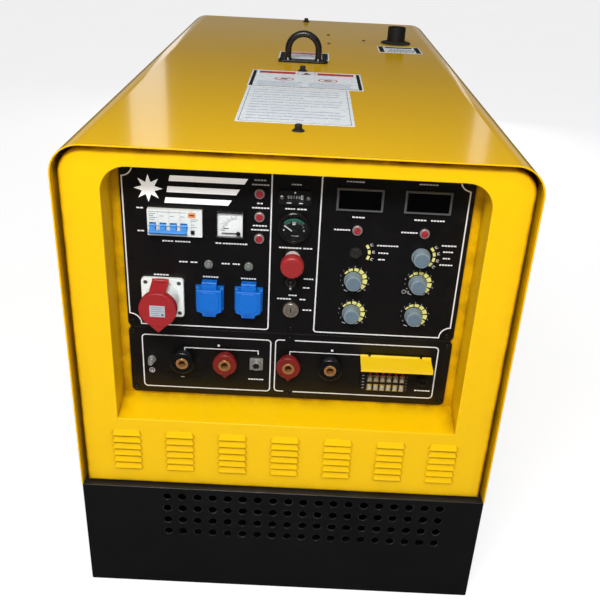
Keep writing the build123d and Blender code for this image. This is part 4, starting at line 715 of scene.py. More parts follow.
class Ink(Build):
    """Thin closed marks on a plane. at(x, y, height) gives the point above the face."""

    def __init__(self, at, low=-0.06, high=0.16):
        super().__init__()
        self.at = at
        self.layer(low, high)

    def layer(self, low, high):
        """Bottom and top heights of the marks that follow."""
        self.low, self.high = low, high

    def poly(self, points, mat=0):
        count = len(points)
        verts = [self.at(x, y, height) for height in (self.low, self.high) for x, y in points]
        faces = [range(count)[::-1], range(count, 2 * count)]
        faces += [(i, (i + 1) % count, count + (i + 1) % count, count + i) for i in range(count)]
        self.add(verts, faces, mat)

    def rect(self, left, right, bottom, top, mat=0, corner=0.0):
        if corner:
            self.poly(rounded(left, right, bottom, top, corner), mat)
        else:
            self.poly(corners(left, right, bottom, top), mat)

    def disc(self, x, y, radius, mat, count):
        self.poly(circle(x, y, radius, count), mat)

    def stroke(self, points, width, mat=0, closed=False):
        """Line through the points, mitred."""
        count = len(points)
        left, right = [], []
        for i in range(count):
            here = Vector(points[i])
            into = out = None
            if i or closed:
                into = (here - Vector(points[i - 1])).normalized()
            if i < count - 1 or closed:
                out = (Vector(points[(i + 1) % count]) - here).normalized()
            into, out = into or out, out or into
            square = Vector((-into.y, into.x))
            mitre = (square + Vector((-out.y, out.x))).normalized()
            reach = (width / 2) / max(0.35, mitre.dot(square))
            left.append(here + mitre * reach)
            right.append(here - mitre * reach)
        verts = [self.at(p.x, p.y, height) for height in (self.low, self.high)
                 for p in left + right]
        # vertex blocks: low left, low right, high left, high right
        right_0, left_1, right_1 = count, 2 * count, 3 * count
        faces = []
        for i in range(count if closed else count - 1):
            j = (i + 1) % count
            faces += [(i, j, right_0 + j, right_0 + i),
                      (left_1 + i, right_1 + i, right_1 + j, left_1 + j),
                      (i, left_1 + i, left_1 + j, j),
                      (right_0 + i, right_0 + j, right_1 + j, right_1 + i)]
        if not closed:
            last = count - 1
            faces += [(0, right_0, right_1, left_1),
                      (last, left_1 + last, right_1 + last, right_0 + last)]
        self.add(verts, faces, mat)

    def tick(self, x, y, start, end, angle, width, mat=0):
        """Radial line between two radii, angle in radians."""
        self.stroke([polar(x, y, start, angle), polar(x, y, end, angle)], width, mat)

    def sector(self, x, y, inner, outer, start, end, mat, steps):
        """Ring segment between two angles in degrees, anticlockwise from +x."""
        self.stroke(arc(x, y, (inner + outer) / 2, start, end, steps), outer - inner, mat)

    def ring(self, x, y, radius, width, mat, count):
        self.stroke(circle(x, y, radius, count), width, mat, True)

    def digit(self, char, x, y, height, width=None, mat=0):
        """Numeral centred on (x, y)."""
        for line in DIGITS[char]:
            self.stroke([(x + (a - 0.5) * (height * 0.56), y + (b - 0.5) * height)
                         for a, b in line], width or height * 0.16, mat)

    def number(self, text, x, y, height):
        step = height * 0.78
        for i, char in enumerate(text):
            self.digit(char, x + (i - (len(text) - 1) / 2) * step, y, height)

    def caption(self, left, right, y, height, mat=0):
        """Printed caption drawn as a row of short blank dashes."""
        gap = 1.0
        count = max(2, round((right - left) / 4.6))
        step = (right - left + gap) / count
        for i in range(count):
            self.rect(left + i * step, left + (i + 1) * step - gap,
                      y - height / 2, y + height / 2, mat, corner=0.5)


# ---------------------------------------------------------------------------
# Upper panel graphics
# ---------------------------------------------------------------------------
WHITE, DIM, PALE, EMBLEM = range(4)
upper = Ink(front(PANEL_Y))

# outlines of the left and right fields, notched at their outer corners
upper.stroke(
    [(-283, 568), (-283, 818)] + arc(-283.5, 836, 18, -90, 0, 7)[1:-1]
    + [(-265, 836), (-45.5, 836)] + arc(-45.5, 831, 5, 90, 0, 4)[1:]
    + [(-40.5, 552.5)] + arc(-45.5, 552.5, 5, 0, -90, 4)[1:]
    + [(-263.5, 547.5)] + arc(-282.5, 548.5, 19, 0, 90, 7)[1:-1], 2.2, closed=True)
upper.stroke(
    [(40, 831), (40, 552.5)] + arc(45, 552.5, 5, 180, 270, 4)[1:]
    + [(261, 547.5)] + arc(280, 549, 19, 180, 90, 7)[1:-1] + [(279, 568), (279, 818)]
    + arc(279.5, 837, 18, 270, 180, 7)[1:-1] + [(261, 836), (45, 836)], 2.2, closed=True)

# emblem: an eight-pointed star and three tapering bars, (bottom, top, right end)
upper.poly([polar(-240.5, 798.5, 11.0 if i % 2 else 23.5, math.radians(90 + 22.5 * i))
            for i in range(16)], EMBLEM)
for k, (bottom, top, right) in enumerate(
        ((812.5, 822.0, -79.0), (793.5, 803.5, -92.0), (775.0, 784.5, -105.0))):
    upper.poly([(-207 - 4 * k, bottom), (right - 6, bottom), (right, top), (-205 - 4 * k, top)],
               EMBLEM)

# (left, right, z)
CAPTIONS = [
    (-261.3, -250.3, 764.5), (-261.5, -250.7, 724.0), (-221.0, -202.8, 707.8),
    (-199.5, -174.2, 707.8), (-131.9, -122.4, 708.3), (-119.7, -79.1, 708.3),
    (-63.7, -54.7, 781.7), (-71.8, -43.9, 774.0), (-70.3, -47.0, 742.8), (-73.0, -43.9, 735.5),
    (-193.6, -179.6, 671.0), (-174.4, -163.0, 671.0), (-122.1, -108.1, 671.2),
    (-103.1, -91.2, 671.2), (-237.7, -212.5, 644.8), (-154.0, -127.8, 645.0),
    (-89.0, -63.4, 645.0), (-17.8, -1.7, 775.0), (1.5, 17.1, 775.0), (-25.8, 11.2, 706.0),
    (14.6, 29.6, 706.0), (17.8, 34.3, 649.8), (17.4, 28.6, 632.9), (-6.8, 7.4, 617.4),
    (-26.3, -2.7, 610.0), (12.6, 22.8, 610.0), (18.7, 33.9, 589.9), (92.2, 112.5, 766.0),
    (193.7, 213.3, 766.2), (221.1, 243.3, 766.2), (63.7, 90.6, 743.0), (174.6, 201.4, 743.5),
    (137.2, 172.2, 717.9), (140.1, 156.8, 704.5), (141.1, 152.3, 692.6), (244.0, 268.5, 723.1),
    (247.8, 264.3, 712.0), (248.8, 260.6, 700.2), (244.6, 266.5, 688.2),
]
# captions near the top of the panel in dim white: painted shade from the recess's top edge
SHADED_TOP_CAPTIONS = [(-68.8, -49.9, 821.1), (-72.8, -44.9, 813.3), (-8.9, 7.2, 816.7),
                (78.7, 107.5, 826.2), (195.5, 225.3, 827.2)]
for left, right, z in CAPTIONS:
    upper.caption(left, right, z, height=2.4)
for left, right, z in SHADED_TOP_CAPTIONS:
    upper.caption(left, right, z, height=2.2, mat=DIM)


def pot_scale(ink, x, z):
    """Growing pale yellow blocks with numerals 0 to 10 outside them."""
    # (middle angle in degrees, block depth)
    for middle, depth in ((133, 3.0), (106, 4.6), (77, 5.6), (49, 6.6), (21, 7.4), (-8, 8.0),
                          (-37, 8.4)):
        ink.sector(x, z, 16.2, 16.2 + depth, middle - 11.2, middle + 11.2, PALE, 4)
    for i in range(11):
        place = polar(x, z, 20.6 + 0.72 * i, math.radians(214 - 25.6 * i))
        ink.number(str(i), *place, height=1.9)
    ink.stroke([(x - 14.5, z - 20.0), (x - 8.5, z - 22.6)], 0.9)
    ink.stroke([(x + 14.5, z - 20.0), (x + 8.5, z - 22.6)], 0.9)


for name in POTS:
    pot_scale(upper, *KNOBS[name])

# process knobs: a block, two ticks and a chevron at each position, in degrees
for name, positions in (("process_knob_a", (31, 5, -21)), ("process_knob_b", (36, 12, -13, -38))):
    x, z = KNOBS[name]
    for middle in positions:
        upper.sector(x, z, 20.3, 24.8, middle - 9.0, middle + 9.0, PALE, 4)
        for offset in (-3.4, 3.4):
            upper.tick(x, z, 27.5, 32.0, math.radians(middle + offset), 0.7)
        angle = math.radians(middle)
        upper.stroke([polar(x, z, 30.0, angle + 0.07), polar(x, z, 27.8, angle),
                      polar(x, z, 30.0, angle - 0.07)], 0.6)
upper.ring(190.2, 634.8, 3.2, 0.8, DIM, 18)
upper.stroke([(193.4, 634.8), (199.0, 634.8)], 0.8, DIM)
upper.stroke([(196.8, 636.6), (199.2, 634.8), (196.8, 633.0)], 0.7, DIM)
upper.make("panel_marks_upper", [paint_white, dim_print_and_shade, paint_yellow, paint_emblem],
           slot="white_paint")

# ---------------------------------------------------------------------------
# Lower panel graphics
# ---------------------------------------------------------------------------
lower = Ink(front(PANEL_Y))
lower.stroke(rounded(-264, -34.5, 417.5, 525.8, 6.5), 2.0, closed=True)
lower.stroke([(-9.5, 527.4)] + arc(-19.5, 520.9, 6.5, 90, 180, 5)
             + arc(-19.5, 425.5, 6.5, 180, 270, 5) + [(-9.5, 419.0)], 2.0)
lower.stroke([(8.0, 527.4)] + arc(257.5, 520.9, 6.5, 90, 0, 5)
             + arc(257.5, 425.5, 6.5, 0, -90, 5) + [(8.0, 419.0)], 2.0)
lower.stroke([(-188.5, 494.5), (-188.5, 502.3), (-56.8, 502.3), (-56.8, 494.5)], 1.6)
lower.stroke([(0.0, 496.5), (0.0, 504.3), (150.0, 504.3)], 1.6)
lower.rect(-129.6, -125.6, 507.4, 511.4)
lower.rect(73.4, 77.4, 508.4, 512.4)
lower.stroke([(-197.0, 440.0), (-190.2, 440.0)], 1.3)
# earth symbol: bars as (half width, z)
lower.ring(-249.0, 451.5, 4.6, 0.9, WHITE, 20)
lower.stroke([(-249.0, 454.8), (-249.0, 451.6)], 0.8)
for half, z in ((2.6, 451.6), (1.7, 450.2), (0.8, 448.9)):
    lower.stroke([(-249.0 - half, z), (-249.0 + half, z)], 0.7)
lower.caption(-73.5, -46.5, 441.9, height=2.6)
lower.caption(230.5, 258.5, 434.6, height=2.6)
lower.make("panel_marks_lower", [paint_white], slot="white_paint")

# thin rubber bead along the joint between the two panels
bead = Build()
bead.box((-284, 284), (PANEL_Y + 0.4, PANEL_Y + 2.4), (540.7, 541.9))
bead.make("panel_joint_bead", rubber)

# ---------------------------------------------------------------------------
# Dials and small instruments
# ---------------------------------------------------------------------------
x, z = VOLTMETER
volts = Ink(front(PANEL_Y - 6.0), low=-0.05, high=0.35)
volts.rect(x - 20.6, x + 20.6, z - 20.6, z + 20.6)
volts.layer(0.25, 0.5)
x, z = VOLT_PIVOT
for radius, width in ((27.5, 0.55), (24.6, 0.3)):
    volts.sector(x, z, radius - width / 2, radius + width / 2, 96, 172, 1, 16)
for i in range(16):
    length = 1.9 if i % 3 else 3.4
    volts.tick(x, z, 24.4, 24.4 + length, math.radians(172 - 76 * i / 15), 0.42, 1)
for i, char in enumerate("012345"):
    volts.digit(char, *polar(x, z, 30.2, math.radians(170 - 72 * i / 5)), height=2.1, mat=1)
volts.rect(-118.4, -109.4, 736.8, 738.4, 2)
volts.rect(-121.8, -117.4, 745.5, 746.1, 1)
volts.rect(-121.8, -114.4, 733.4, 734.0, 1)
volts.ring(-112.6, 744.4, 1.5, 0.35, 1, 16)
volts.make("voltmeter_dial", [dial_white, paint_grey, paint_black], slot="white_paint")

hub = Build()
hub.spin((x, PANEL_Y - 9.12, z), (0, -1, 0), [(0, 3.3), (0.12, 3.7), (0.42, 3.7), (0.56, 3.3)],
         sides=28)
hub.make("voltmeter_hub_cap", black_plastic, body="voltmeter_needle")

x, z = FUEL_GAUGE
fuel = Ink(front(PANEL_Y - 2.0), low=-0.05, high=0.25)
fuel.disc(x, z, 22.3, 0, 48)
fuel.layer(0.15, 0.45)
fuel.sector(*FUEL_PIVOT, 20.0, 23.4, 43, 139, 1, 18)
for i in range(13):
    length = 1.2 if i % 3 else 2.4
    fuel.tick(*FUEL_PIVOT, 18.8, 18.8 - length, math.radians(150 - 120 * i / 12), 0.5, 2)
# pump pictogram, its window raised, then a base line and two level marks
fuel.rect(x - 2.6, x + 1.2, z + 4.4, z + 9.4, 2)
fuel.layer(0.15, 0.6)
fuel.rect(x - 1.9, x + 0.5, z + 7.0, z + 8.7, 0)
fuel.layer(0.15, 0.45)
fuel.stroke([(x + 1.2, z + 5.2), (x + 2.6, z + 5.2), (x + 2.6, z + 8.0), (x + 1.6, z + 9.2)],
            0.5, 2)
fuel.rect(x - 3.5, x + 8.0, z - 15.4, z - 14.4, 2)
fuel.rect(x - 17.6, x - 15.6, z - 6.2, z - 4.2, 2)
fuel.rect(x + 15.6, x + 17.6, z - 6.2, z - 4.2, 2)
fuel.make("fuel_gauge_dial", [dial_black, paint_green, paint_white], slot="panel_black")

# six number wheels, the last one white
x, z = HOUR_COUNTER
wheel_x = [x - 10.9 + 4.36 * i for i in range(6)]
wheels = Ink(front(PANEL_Y + 0.8), low=-0.05, high=0.3)
for i, middle in enumerate(wheel_x):
    wheels.rect(middle - 1.9, middle + 1.9, z - 3.6, z + 3.6, 1 if i == 5 else 0, corner=0.4)
wheels.layer(0.2, 0.5)
for i, char in enumerate("001864"):
    wheels.digit(char, wheel_x[i], z, height=4.4, width=0.62, mat=3 if i == 5 else 2)
wheels.make("hour_counter_wheels", [dial_black, dial_white, paint_white, paint_black],
            slot="panel_black")
marks = Ink(front(PANEL_Y - 3.0))
marks.rect(x - 13.5, x - 6.0, z - 9.6, z - 8.2)
marks.rect(x + 6.5, x + 12.5, z - 9.6, z - 8.2)
marks.disc(x - 0.5, z + 8.9, 1.6, 0, 14)
marks.make("hour_counter_marks", [paint_white], slot="white_paint")
screws = Build()
for offset in (-21.3, 21.3):
    screws.spin((x + offset, PANEL_Y - 4.1, z), (0, -1, 0),
                [(0, 3.0), (0.5, 2.9), (0.9, 2.1), (1.05, 0.02)], sides=24)
screws.make("hour_counter_screws", bright_steel)

# unlit seven-segment figures behind the tinted windows; segment ends from the figure's centre
SEGMENTS = [((-4.6, 9), (4.6, 9)), ((-4.6, 0), (4.6, 0)), ((-4.6, -9), (4.6, -9)),
            ((-5.4, 1), (-5.4, 8)), ((5.4, 1), (5.4, 8)),
            ((-5.4, -8), (-5.4, -1)), ((5.4, -8), (5.4, -1))]
display = Ink(front(PANEL_Y + 1.9), low=-0.1, high=0.3)
for x, z in ((102.8, 796.4), (213.2, 797.0)):
    for i in range(3):
        middle = x - 17 + 17 * i
        for ends in SEGMENTS:
            display.stroke([(middle + across, z + rise) for across, rise in ends], 1.5)
display.make("display_segments", [segment_dark], slot="lens_red")

# breaker printing
breaker = Ink(front(PANEL_Y - 8.0), low=-0.04, high=0.1)
breaker.rect(-240.5, -178.5, 761.4, 762.1)
breaker.rect(-176.0, -163.5, 753.5, 762.5, 1, corner=0.9)
breaker.rect(-173.6, -165.9, 757.0, 759.0, 2)
for z, right in ((757.8, -229.0), (754.4, -232.5), (751.0, -227.0), (747.8, -231.0)):
    breaker.rect(-240.0, right, z, z + 0.9)
for i in range(1, 4):
    x = -240.0 + 17.2 * i
    breaker.rect(x, x + 7.0, 754.4, 755.1)
for z, width in ((750.2, 12.0), (747.6, 9.0), (741.0, 6.0), (737.0, 10.0), (722.8, 5.0)):
    breaker.rect(-171.5, -171.5 + width, z, z + 0.7)
breaker.make("breaker_marks", [paint_grey, paint_orange, film_red], slot="light_grey_plastic")

# moulded rings on the stop button's face
rings = Ink(front(PANEL_Y - 42.0), low=-0.05, high=0.35)
rings.ring(*STOP, 11.6, 0.9, 0, 48)
rings.layer(-0.05, 0.2)
rings.ring(*STOP, 7.4, 0.5, 0, 40)
rings.make("emergency_stop_face_rings", red_button, body="emergency_stop_head",
           slot="red_plastic")


def lid_face(name, x, z):
    """Raised eight-sided face and three ribs below it on a blue lid."""
    cut = 6.5
    left, right, bottom, top = x - 17.2, x + 17.2, z - 18.0, z + 19.0
    outline = [(left + cut, bottom), (right - cut, bottom), (right, bottom + cut),
               (right, top - cut), (right - cut, top), (left + cut, top), (left, top - cut),
               (left, bottom + cut)]
    # (y, size of the outline there)
    layers = ((PANEL_Y - 16.9, 1.0), (PANEL_Y - 17.5, 1.0), (PANEL_Y - 18.0, 0.955))
    verts = [(x + (px - x) * size, y, z + 0.5 + (pz - z - 0.5) * size)
             for y, size in layers for px, pz in outline]
    faces = [range(8), range(16, 24)[::-1]]
    for j in (0, 8):
        faces += [(j + i, j + (i + 1) % 8, j + 8 + (i + 1) % 8, j + 8 + i) for i in range(8)]
    face = Build()
    face.add(verts, faces)
    for i in range(3):
        face.box((x - 7.5, x + 7.5), (PANEL_Y - 17.6, PANEL_Y - 16.9),
                 (z - 22.0 - 1.9 * i, z - 21.2 - 1.9 * i))
    face.make(name + "_face", blue_plastic, body=name, slot="blue_plastic")


for name, place in BLUE_LIDS.items():
    lid_face(name, *place)

# knob caps and pointers
for name in ["process_knob_b"] + POTS:
    x, z = KNOBS[name]
    cap = Build()
    cap.spin((x, PANEL_Y - 18.95, z), (0, -1, 0),
             [(0, 11.2), (0.35, 11.2), (0.62, 10.7), (0.7, 9.6)], sides=40)
    cap.make(name + "_cap", knob_cap, body=name, slot="grey_plastic")
    pointer = Ink(front(PANEL_Y - 19.6), low=-0.05)
    pointer.tick(x, z, 3.0, 9.2, math.radians(90.0 if name in POTS else 0.0), 0.9)
    pointer.make(name + "_pointer", [paint_grey], body=name, slot="black_plastic")

# hexagonal nuts behind the panel
nuts = Build()
for x, z in LAMPS + BUTTONS:
    nuts.spin((x, PANEL_Y + 3.0, z), (0, 1, 0), [(0, 9.4), (0.4, 9.8), (3.2, 9.8), (3.6, 9.4)],
              sides=6, smooth=False)
nuts.make("panel_rear_nuts", zinc)

# label on the red socket's lid
x, z = RED_SOCKET
label = Ink(front(PANEL_Y - 56.0), low=-0.04, high=0.18)
label.rect(x - 12.8, x + 12.8, z - 11.5, z + 9.5, corner=0.8)
label.layer(0.1, 0.3)
for i, end in enumerate((10.0, 7.0, 10.5, 3.0)):
    label.rect(x - 10.5, x + end, z + 5.6 - 3.6 * i, z + 6.3 - 3.6 * i, 1)
label.rect(x - 10.5, x + 4.0, z - 9.2, z - 8.5, 1)
label.rect(x + 6.4, x + 10.4, z - 9.2, z - 5.6, 1)
label.make("three_phase_lid_label", [lid_plate, paint_grey], body="three_phase_lid",
           slot="zinc_steel")

# ferrules and wire tails at the terminal strip; the tails draw together at the top
ferrules = Build()
for i, x in enumerate(STRIP_X):
    ferrules.spin((x, PANEL_Y - 8.6, 467.8), (0, 0.10, 1),
                  [(0, 1.7), (0.6, 2.1), (9.5, 2.1), (10.2, 1.5)], 0, sides=16)
    ferrules.spin((x, PANEL_Y - 8.6, 462.0), (0, 0, 1), [(0, 1.3), (6.6, 1.3)], 1, sides=12)
    ferrules.hose([(x, PANEL_Y - 9.4, 476.6), (x, PANEL_Y - 10.2, 485.0),
                   (x - 0.6 * (i - 2.5), PANEL_Y - 8.4, 494.0),
                   (x - 0.9 * (i - 2.5), PANEL_Y - 2.0, 497.0)], 1.35, 2, sides=10)
ferrules.make("strip_ferrules", [red_plastic, strip_zinc, black_plastic])
strip = Ink(front(PANEL_Y - 6.0), low=-0.05, high=0.12)
for x in (173.5 - 38.6, 173.5 + 38.6):
    for k in range(5):
        strip.rect(x - 2.2, x + 2.2, 438.4 + 6.6 * k, 439.3 + 6.6 * k)
strip.make("strip_marks", [dim_print_and_shade], slot="white_paint")

# ---------------------------------------------------------------------------
# Roof labels: blank forms with bars, no text. near is the edge towards the front.
# ---------------------------------------------------------------------------
BAR, BLACK, RED, GREY = range(1, 5)


def sheet(name, left, right, near, far, draw):
    ink = Ink(roof, low=-0.03, high=0.22)
    ink.rect(left, right, near, far, corner=3.0)
    ink.layer(0.12, 0.30)
    draw(ink, left, right, near, far)
    ink.make(name, [film_white, film_pale, paint_black, film_red, paint_grey],
             slot="white_paint")


def draw_front(ink, left, right, near, far):
    """Framed page of twelve broken lines."""
    ink.stroke(corners(left + 6, right - 6, near + 7, far - 7), 1.0, GREY, closed=True)
    for i in range(12):
        y = far - 28 - (far - near - 54) * i / 11
        x = left + 15
        end = right - 14 - (rng.random() * 12 if i % 4 != 3 else 64 + rng.random() * 20)
        while x < end - 6:
            width = 16 + rng.random() * 26
            ink.rect(x, min(x + width, end), y - 2.2, y + 2.2, BAR, corner=0.8)
            x += width + 1.8


def draw_middle(ink, left, right, near, far):
    """Red headers, a triangle, two struck-out ovals and lines in two columns."""
    ink.rect(left + 3, left + 10, near + 6, far - 6, BLACK, corner=1.0)
    ink.rect(right - 10, right - 3, near + 6, far - 6, BLACK, corner=1.0)
    ink.rect(left + 10, right - 10, near + 6, near + 9, BLACK)
    middle = (left + right) / 2
    ink.rect(left + 16, middle - 24, far - 32, far - 10, RED, corner=1.0)
    ink.rect(middle + 24, right - 16, far - 32, far - 10, RED, corner=1.0)
    ink.poly([(middle - 11, far - 30), (middle + 11, far - 30), (middle, far - 12)], BLACK)
    ink.stroke(corners(middle - 19, middle + 19, far - 32, far - 10), 1.2, RED, closed=True)
    for x in (middle - 46, middle + 46):
        y = near + 84
        ink.stroke([(x + 19 * math.cos(math.radians(t)), y + 16 * math.sin(math.radians(t)))
                    for t in range(0, 360, 15)], 2.6, RED, closed=True)
        ink.rect(x - 7, x + 7, y - 5.5, y + 5.5, BLACK, corner=2.0)
        ink.layer(0.12, 0.42)
        ink.stroke([(x - 13, y - 11), (x + 13, y + 11)], 2.2, RED)
        ink.layer(0.12, 0.30)
    for i in range(5):
        y = near + 54 - 9.0 * i
        for start, end in ((left + 18, middle - 6), (middle + 6, right - 18)):
            ink.rect(start, end - rng.random() * 10, y - 1.7, y + 1.7, BAR, corner=0.6)


def draw_bail(ink, left, right, near, far):
    """Black side bars, a red header and four lines."""
    ink.rect(left + 3, left + 17, near + 5, far - 5, BLACK, corner=1.0)
    ink.rect(right - 17, right - 3, near + 5, far - 5, BLACK, corner=1.0)
    ink.rect(left + 22, right - 22, far - 26, far - 8, RED, corner=1.0)
    for i in range(4):
        y = far - 38 - 12 * i
        ink.rect(left + 24, right - 24 - rng.random() * 20, y - 1.6, y + 1.6, BAR, corner=0.6)


def draw_stack(ink, left, right, near, far):
    """Black side bars and header over slanted hatching."""
    ink.rect(left + 3, left + 15, near + 5, far - 5, BLACK, corner=1.0)
    ink.rect(right - 15, right - 3, near + 5, far - 5, BLACK, corner=1.0)
    ink.rect(left + 20, right - 20, far - 26, far - 10, BLACK, corner=1.0)
    for i in range(9):
        x = left + 24 + 7.6 * i
        ink.stroke([(x, near + 12), (x + 14, near + 56)], 2.2, GREY if i % 2 else BLACK)


sheet("roof_label_front", -112.0, 92.0, -563.0, -282.0, draw_front)
sheet("roof_label_middle", -114.0, 122.0, -280.0, -110.0, draw_middle)
sheet("roof_label_bail", -65.0, 56.0, 45.0, 140.0, draw_bail)
sheet("roof_label_stack", 186.0, 298.0, 198.0, 295.0, draw_stack)

# ---------------------------------------------------------------------------
# Inside: hoses, cables, seals
# ---------------------------------------------------------------------------
coolant = Build()
coolant.hose([(88, 250, 640), (92, 262, 690), (112, 330, 745), (130, 400, 792), (132, 445, 806),
              (132, 464, 806)], 19.0, 0, sides=20)
coolant.hose([(112, 240, 430), (150, 250, 415), (205, 300, 360), (236, 380, 302),
              (232, 430, 286), (226, 464, 284)], 17.0, 0, sides=20)
# clamps: (centre, axis, radius)
for centre, axis, radius in (
        ((91, 255, 668), (0.1, 0.25, 1), 20.2), ((132, 450, 806), (0, 1, 0), 20.2),
        ((130, 244, 424), (1, 0.3, -0.3), 18.2), ((228, 452, 284), (0, 1, 0), 18.2)):
    coolant.spin(centre, axis, [(-6, radius - 0.8), (-5.4, radius), (5.4, radius),
                                (6, radius - 0.8)], 1, sides=28)
coolant.make("coolant_hoses", [rubber, zinc])

battery = Build()
battery.hose([(295, -360, 430), (295, -352, 462), (290, -300, 470), (262, -180, 440),
              (220, -60, 390), (170, 10, 372), (118, 40, 372)], 6.5, 0, sides=14)
battery.hose([(225, -360, 430), (222, -340, 458), (205, -280, 450), (190, -200, 340),
              (186, -140, 262), (190, -100, 244)], 6.5, 1, sides=14)
for x in (295, 225):
    battery.box((x - 12, x + 12), (-372, -346), (424, 436), 2)
battery.spin((118, 60, 372), (1, 0, 0),
             [(-6, 26), (0, 30), (34, 30), (38, 24), (60, 24), (62, 16)], 2, sides=28)
battery.make("battery_cables", [red_plastic, rubber, zinc])

weld = Build()
for x, mat in ((-191.0, 0), (-115.2, 1), (-1.5, 1), (73.3, 0)):
    weld.hose([(x, -626, 480), (x, -612, 474), (x + 2, -601, 452), (x + 3, -596, 410),
               (x + 2, -592, 380), (x, -584, 372)], 8.0, mat, sides=16)
    weld.spin((x, -628, 480), (0, 1, 0), [(0, 8.4), (0.8, 9.0), (4, 9.0), (4.6, 8.4)], 2,
              sides=6, smooth=False)
weld.make("weld_cables", [rubber, red_plastic, zinc])

loom = Build()
for k, (x, z) in enumerate(((-198, 690), (-107, 700), (-2, 700), (102, 760), (213, 760),
                            (-142, 590), (-75, 590))):
    loom.hose([(x, -600, z), (x + 4, -590, z - 30), (x * 0.6, -583, 585 + 3 * k),
               (x * 0.25 - 60, -560, 572 + 4 * k), (-250, -520, 566 + 4 * k)], 4.0, k % 2,
              sides=10)
loom.make("panel_loom", [rubber, black_plastic])

# two round bodies on the engine's left side, a rod with a pull ring, four thin pipes
fittings = Build()
fittings.spin((-128, 120, 430), (-1, 0, 0), [(0, 30), (4, 38), (78, 38), (84, 34), (86, 20)], 0,
              sides=36)
fittings.spin((-128, 220, 452), (-1, 0, 0), [(0, 22), (2, 26), (34, 26), (38, 18)], 1, sides=30)
fittings.hose([(-100, 60, 560), (-118, 60, 600), (-124, 62, 660), (-118, 66, 705),
               (-104, 70, 722)], 3.0, 2, sides=10)
fittings.tube([(-104 + 9 * math.cos(t / 12 * 2 * math.pi), 70,
                732 + 9 * math.sin(t / 12 * 2 * math.pi)) for t in range(12)], 2.0, 3,
              sides=8, closed=True)
for i in range(4):
    y = 60 + 68 * i
    fittings.hose([(-60, y, 690), (-66, y, 706), (-96, y - 6, 700), (-122, 90 + 40 * i, 640),
                   (-128, 150 + 12 * i, 560), (-140, 190 + 9 * i, 478)], 2.2, 4, sides=8)
fittings.make("engine_fittings", [yellow_cover, aluminium, steel_shaft, red_plastic, steel_shaft])

# door seals: rectangular frames, grown inwards and outwards from the same rectangle
for side, name in ((-1, "left"), (1, "right")):
    verts = [(x, y, z) for x in sorted((side * 372.4, side * 364.0)) for grow in (-5.5, 7.0)
             for y, z in corners(-427.0 - grow, 487.0 + grow, 283.0 - grow, 797.0 + grow)]
    faces = []
    for i in range(4):
        j = (i + 1) % 4
        faces += [(i, j, 4 + j, 4 + i), (8 + i, 12 + i, 12 + j, 8 + j), (i, 8 + i, 8 + j, j),
                  (4 + i, 4 + j, 12 + j, 12 + i)]
    seal = Build()
    seal.add(verts, faces)
    seal.make(f"{name}_door_seal", rubber)

# ---------------------------------------------------------------------------
# Floor: pale to the camera and to diffuse light, dark in reflections
# ---------------------------------------------------------------------------
floor_mesh = bpy.data.meshes.new("studio_floor")
floor_mesh.from_pydata([(-40, -40, 0), (40, -40, 0), (40, 40, 0), (-40, 40, 0)], [],
                       [(0, 1, 2, 3)])
floor = bpy.data.objects.new("studio_floor", floor_mesh)
bpy.context.scene.collection.objects.link(floor)


def floor_look():
    look = Look("studio_floor_pale")
    rays = look.node("ShaderNodeLightPath")
    drift = look.span(look.noise(scale=1.3, detail=4.0), 0.35, 0.65)

    def diffuse(colour):
        return look.node("ShaderNodeBsdfDiffuse", {"Color": colour})

    pale = diffuse(look.mix(drift, (0.80, 0.80, 0.80, 1), (0.84, 0.84, 0.84, 1)))
    glow = look.node("ShaderNodeEmission", {
        "Color": look.mix(drift, (0.99, 0.99, 1.0, 1), (1.0, 1.0, 1.0, 1)), "Strength": 0.80})
    seen = look.node("ShaderNodeAddShader", {0: glow, 1: diffuse((0.30, 0.30, 0.30, 1))})
    unseen = look.mix_shader(rays.outputs["Is Glossy Ray"], pale, diffuse((0.10, 0.10, 0.10, 1)))
    return look.finish(look.mix_shader(rays.outputs["Is Camera Ray"], unseen, seen))


floor_mesh.materials.append(floor_look())

# ---------------------------------------------------------------------------
# World
# ---------------------------------------------------------------------------
world = bpy.data.worlds.new("studio")
bpy.context.scene.world = world
world.use_nodes = True
sky = Graph(world.node_tree)


def choose(factor, chosen, other):
    return sky.calc("ADD", sky.times(chosen, factor),
                    sky.times(other, sky.calc("SUBTRACT", 1.0, factor)))


direction = sky.node("ShaderNodeSeparateXYZ",
                     {0: sky.node("ShaderNodeTexCoord").outputs["Generated"]})
sky_y, sky_z = direction.outputs[1], direction.outputs[2]
rays = sky.node("ShaderNodeLightPath")
fill = sky.span(sky_y, -0.9, 0.3, to=(0.36, 0.16))              # soft, stronger from the front
mirror_back = sky.span(sky_z, 0.10, 0.17, to=(0.34, 0.055))     # pale strip low behind
mirror_front = sky.span(sky_z, -0.1, 0.7, to=(0.05, 0.14))
mirrored = choose(sky.span(sky_y, -0.15, 0.25), mirror_back, mirror_front)
unseen = choose(rays.outputs["Is Glossy Ray"], mirrored, fill)
backdrop = sky.node("ShaderNodeBackground",
                    {"Color": choose(rays.outputs["Is Camera Ray"], 0.90, unseen)})
sky.node("ShaderNodeOutputWorld", {0: backdrop})

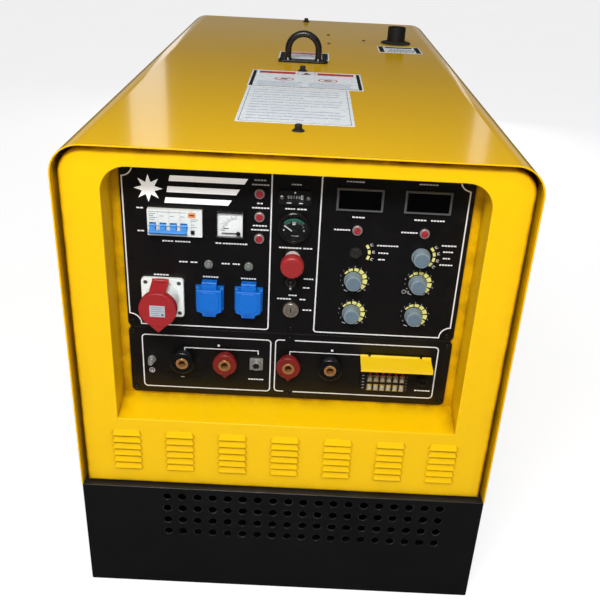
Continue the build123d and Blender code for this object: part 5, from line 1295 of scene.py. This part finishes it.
# ---------------------------------------------------------------------------
# Lights, in metres and watts: name, place, target, width, height, power, hidden from.
# The two strips put the gloss on the roof.
# ---------------------------------------------------------------------------
LIGHTS = [
    ("key", (-0.25, -2.3, 2.46), (0, -0.6, 0.6), 1.1, 0.5, 60.0, None),
    ("rim_right", (3.2, 1.0, 1.8), (0, 0, 0.5), 1.6, 1.8, 15.0, "visible_glossy"),
    ("rim_left", (-3.2, 0.6, 1.8), (0, 0, 0.5), 1.6, 1.8, 15.0, "visible_glossy"),
    ("back_fill", (0.4, 3.3, 0.85), (0, 0.7, 0.5), 1.4, 0.9, 34.0, "visible_glossy"),
    ("strip_back_left", (-1.12, 3.6, 1.75), (-0.3, 0.0, 0.9), 0.26, 1.7, 1.1, "visible_camera"),
    ("strip_back_right", (1.25, 3.6, 1.75), (0.3, 0.0, 0.9), 0.12, 1.7, 0.42, "visible_camera"),
]
for name, place, target, width, height, power, hidden in LIGHTS:
    data = bpy.data.lights.new(name, "AREA")
    data.shape = "RECTANGLE"
    data.size, data.size_y = width, height
    data.energy = power
    light = bpy.data.objects.new(name, data)
    light.location = place
    light.rotation_mode = "QUATERNION"
    light.rotation_quaternion = (Vector(target) - Vector(place)).to_track_quat("-Z", "Y")
    bpy.context.scene.collection.objects.link(light)
    if hidden:
        setattr(light, hidden, False)

# ---------------------------------------------------------------------------
# Camera: in front, above the roof, looking back and down
# ---------------------------------------------------------------------------
camera = bpy.data.objects.new("camera", bpy.data.cameras.new("camera"))
bpy.context.scene.collection.objects.link(camera)
yaw, pitch, roll = math.radians(0.0942), math.radians(27.242), math.radians(-2.844)
forward = Vector((math.sin(yaw) * math.cos(pitch), math.cos(yaw) * math.cos(pitch),
                  -math.sin(pitch)))
level = Vector((math.cos(yaw), -math.sin(yaw), 0.0))
down = forward.cross(level)
rolled_right = level * math.cos(roll) + down * math.sin(roll)
rolled_down = down * math.cos(roll) - level * math.sin(roll)
pose = Matrix((rolled_right, -rolled_down, -forward)).transposed().to_4x4()
pose.translation = Vector((0.01152, -1.84874, 1.21797))
camera.matrix_world = pose
camera.data.lens = 46.19
camera.data.sensor_width = 36.0
camera.data.clip_start, camera.data.clip_end = 0.02, 200.0
bpy.context.scene.camera = camera
bpy.context.scene.view_settings.view_transform = "Standard"
bpy.context.scene.view_settings.look = "None"
bpy.context.scene.view_settings.exposure = 0.0
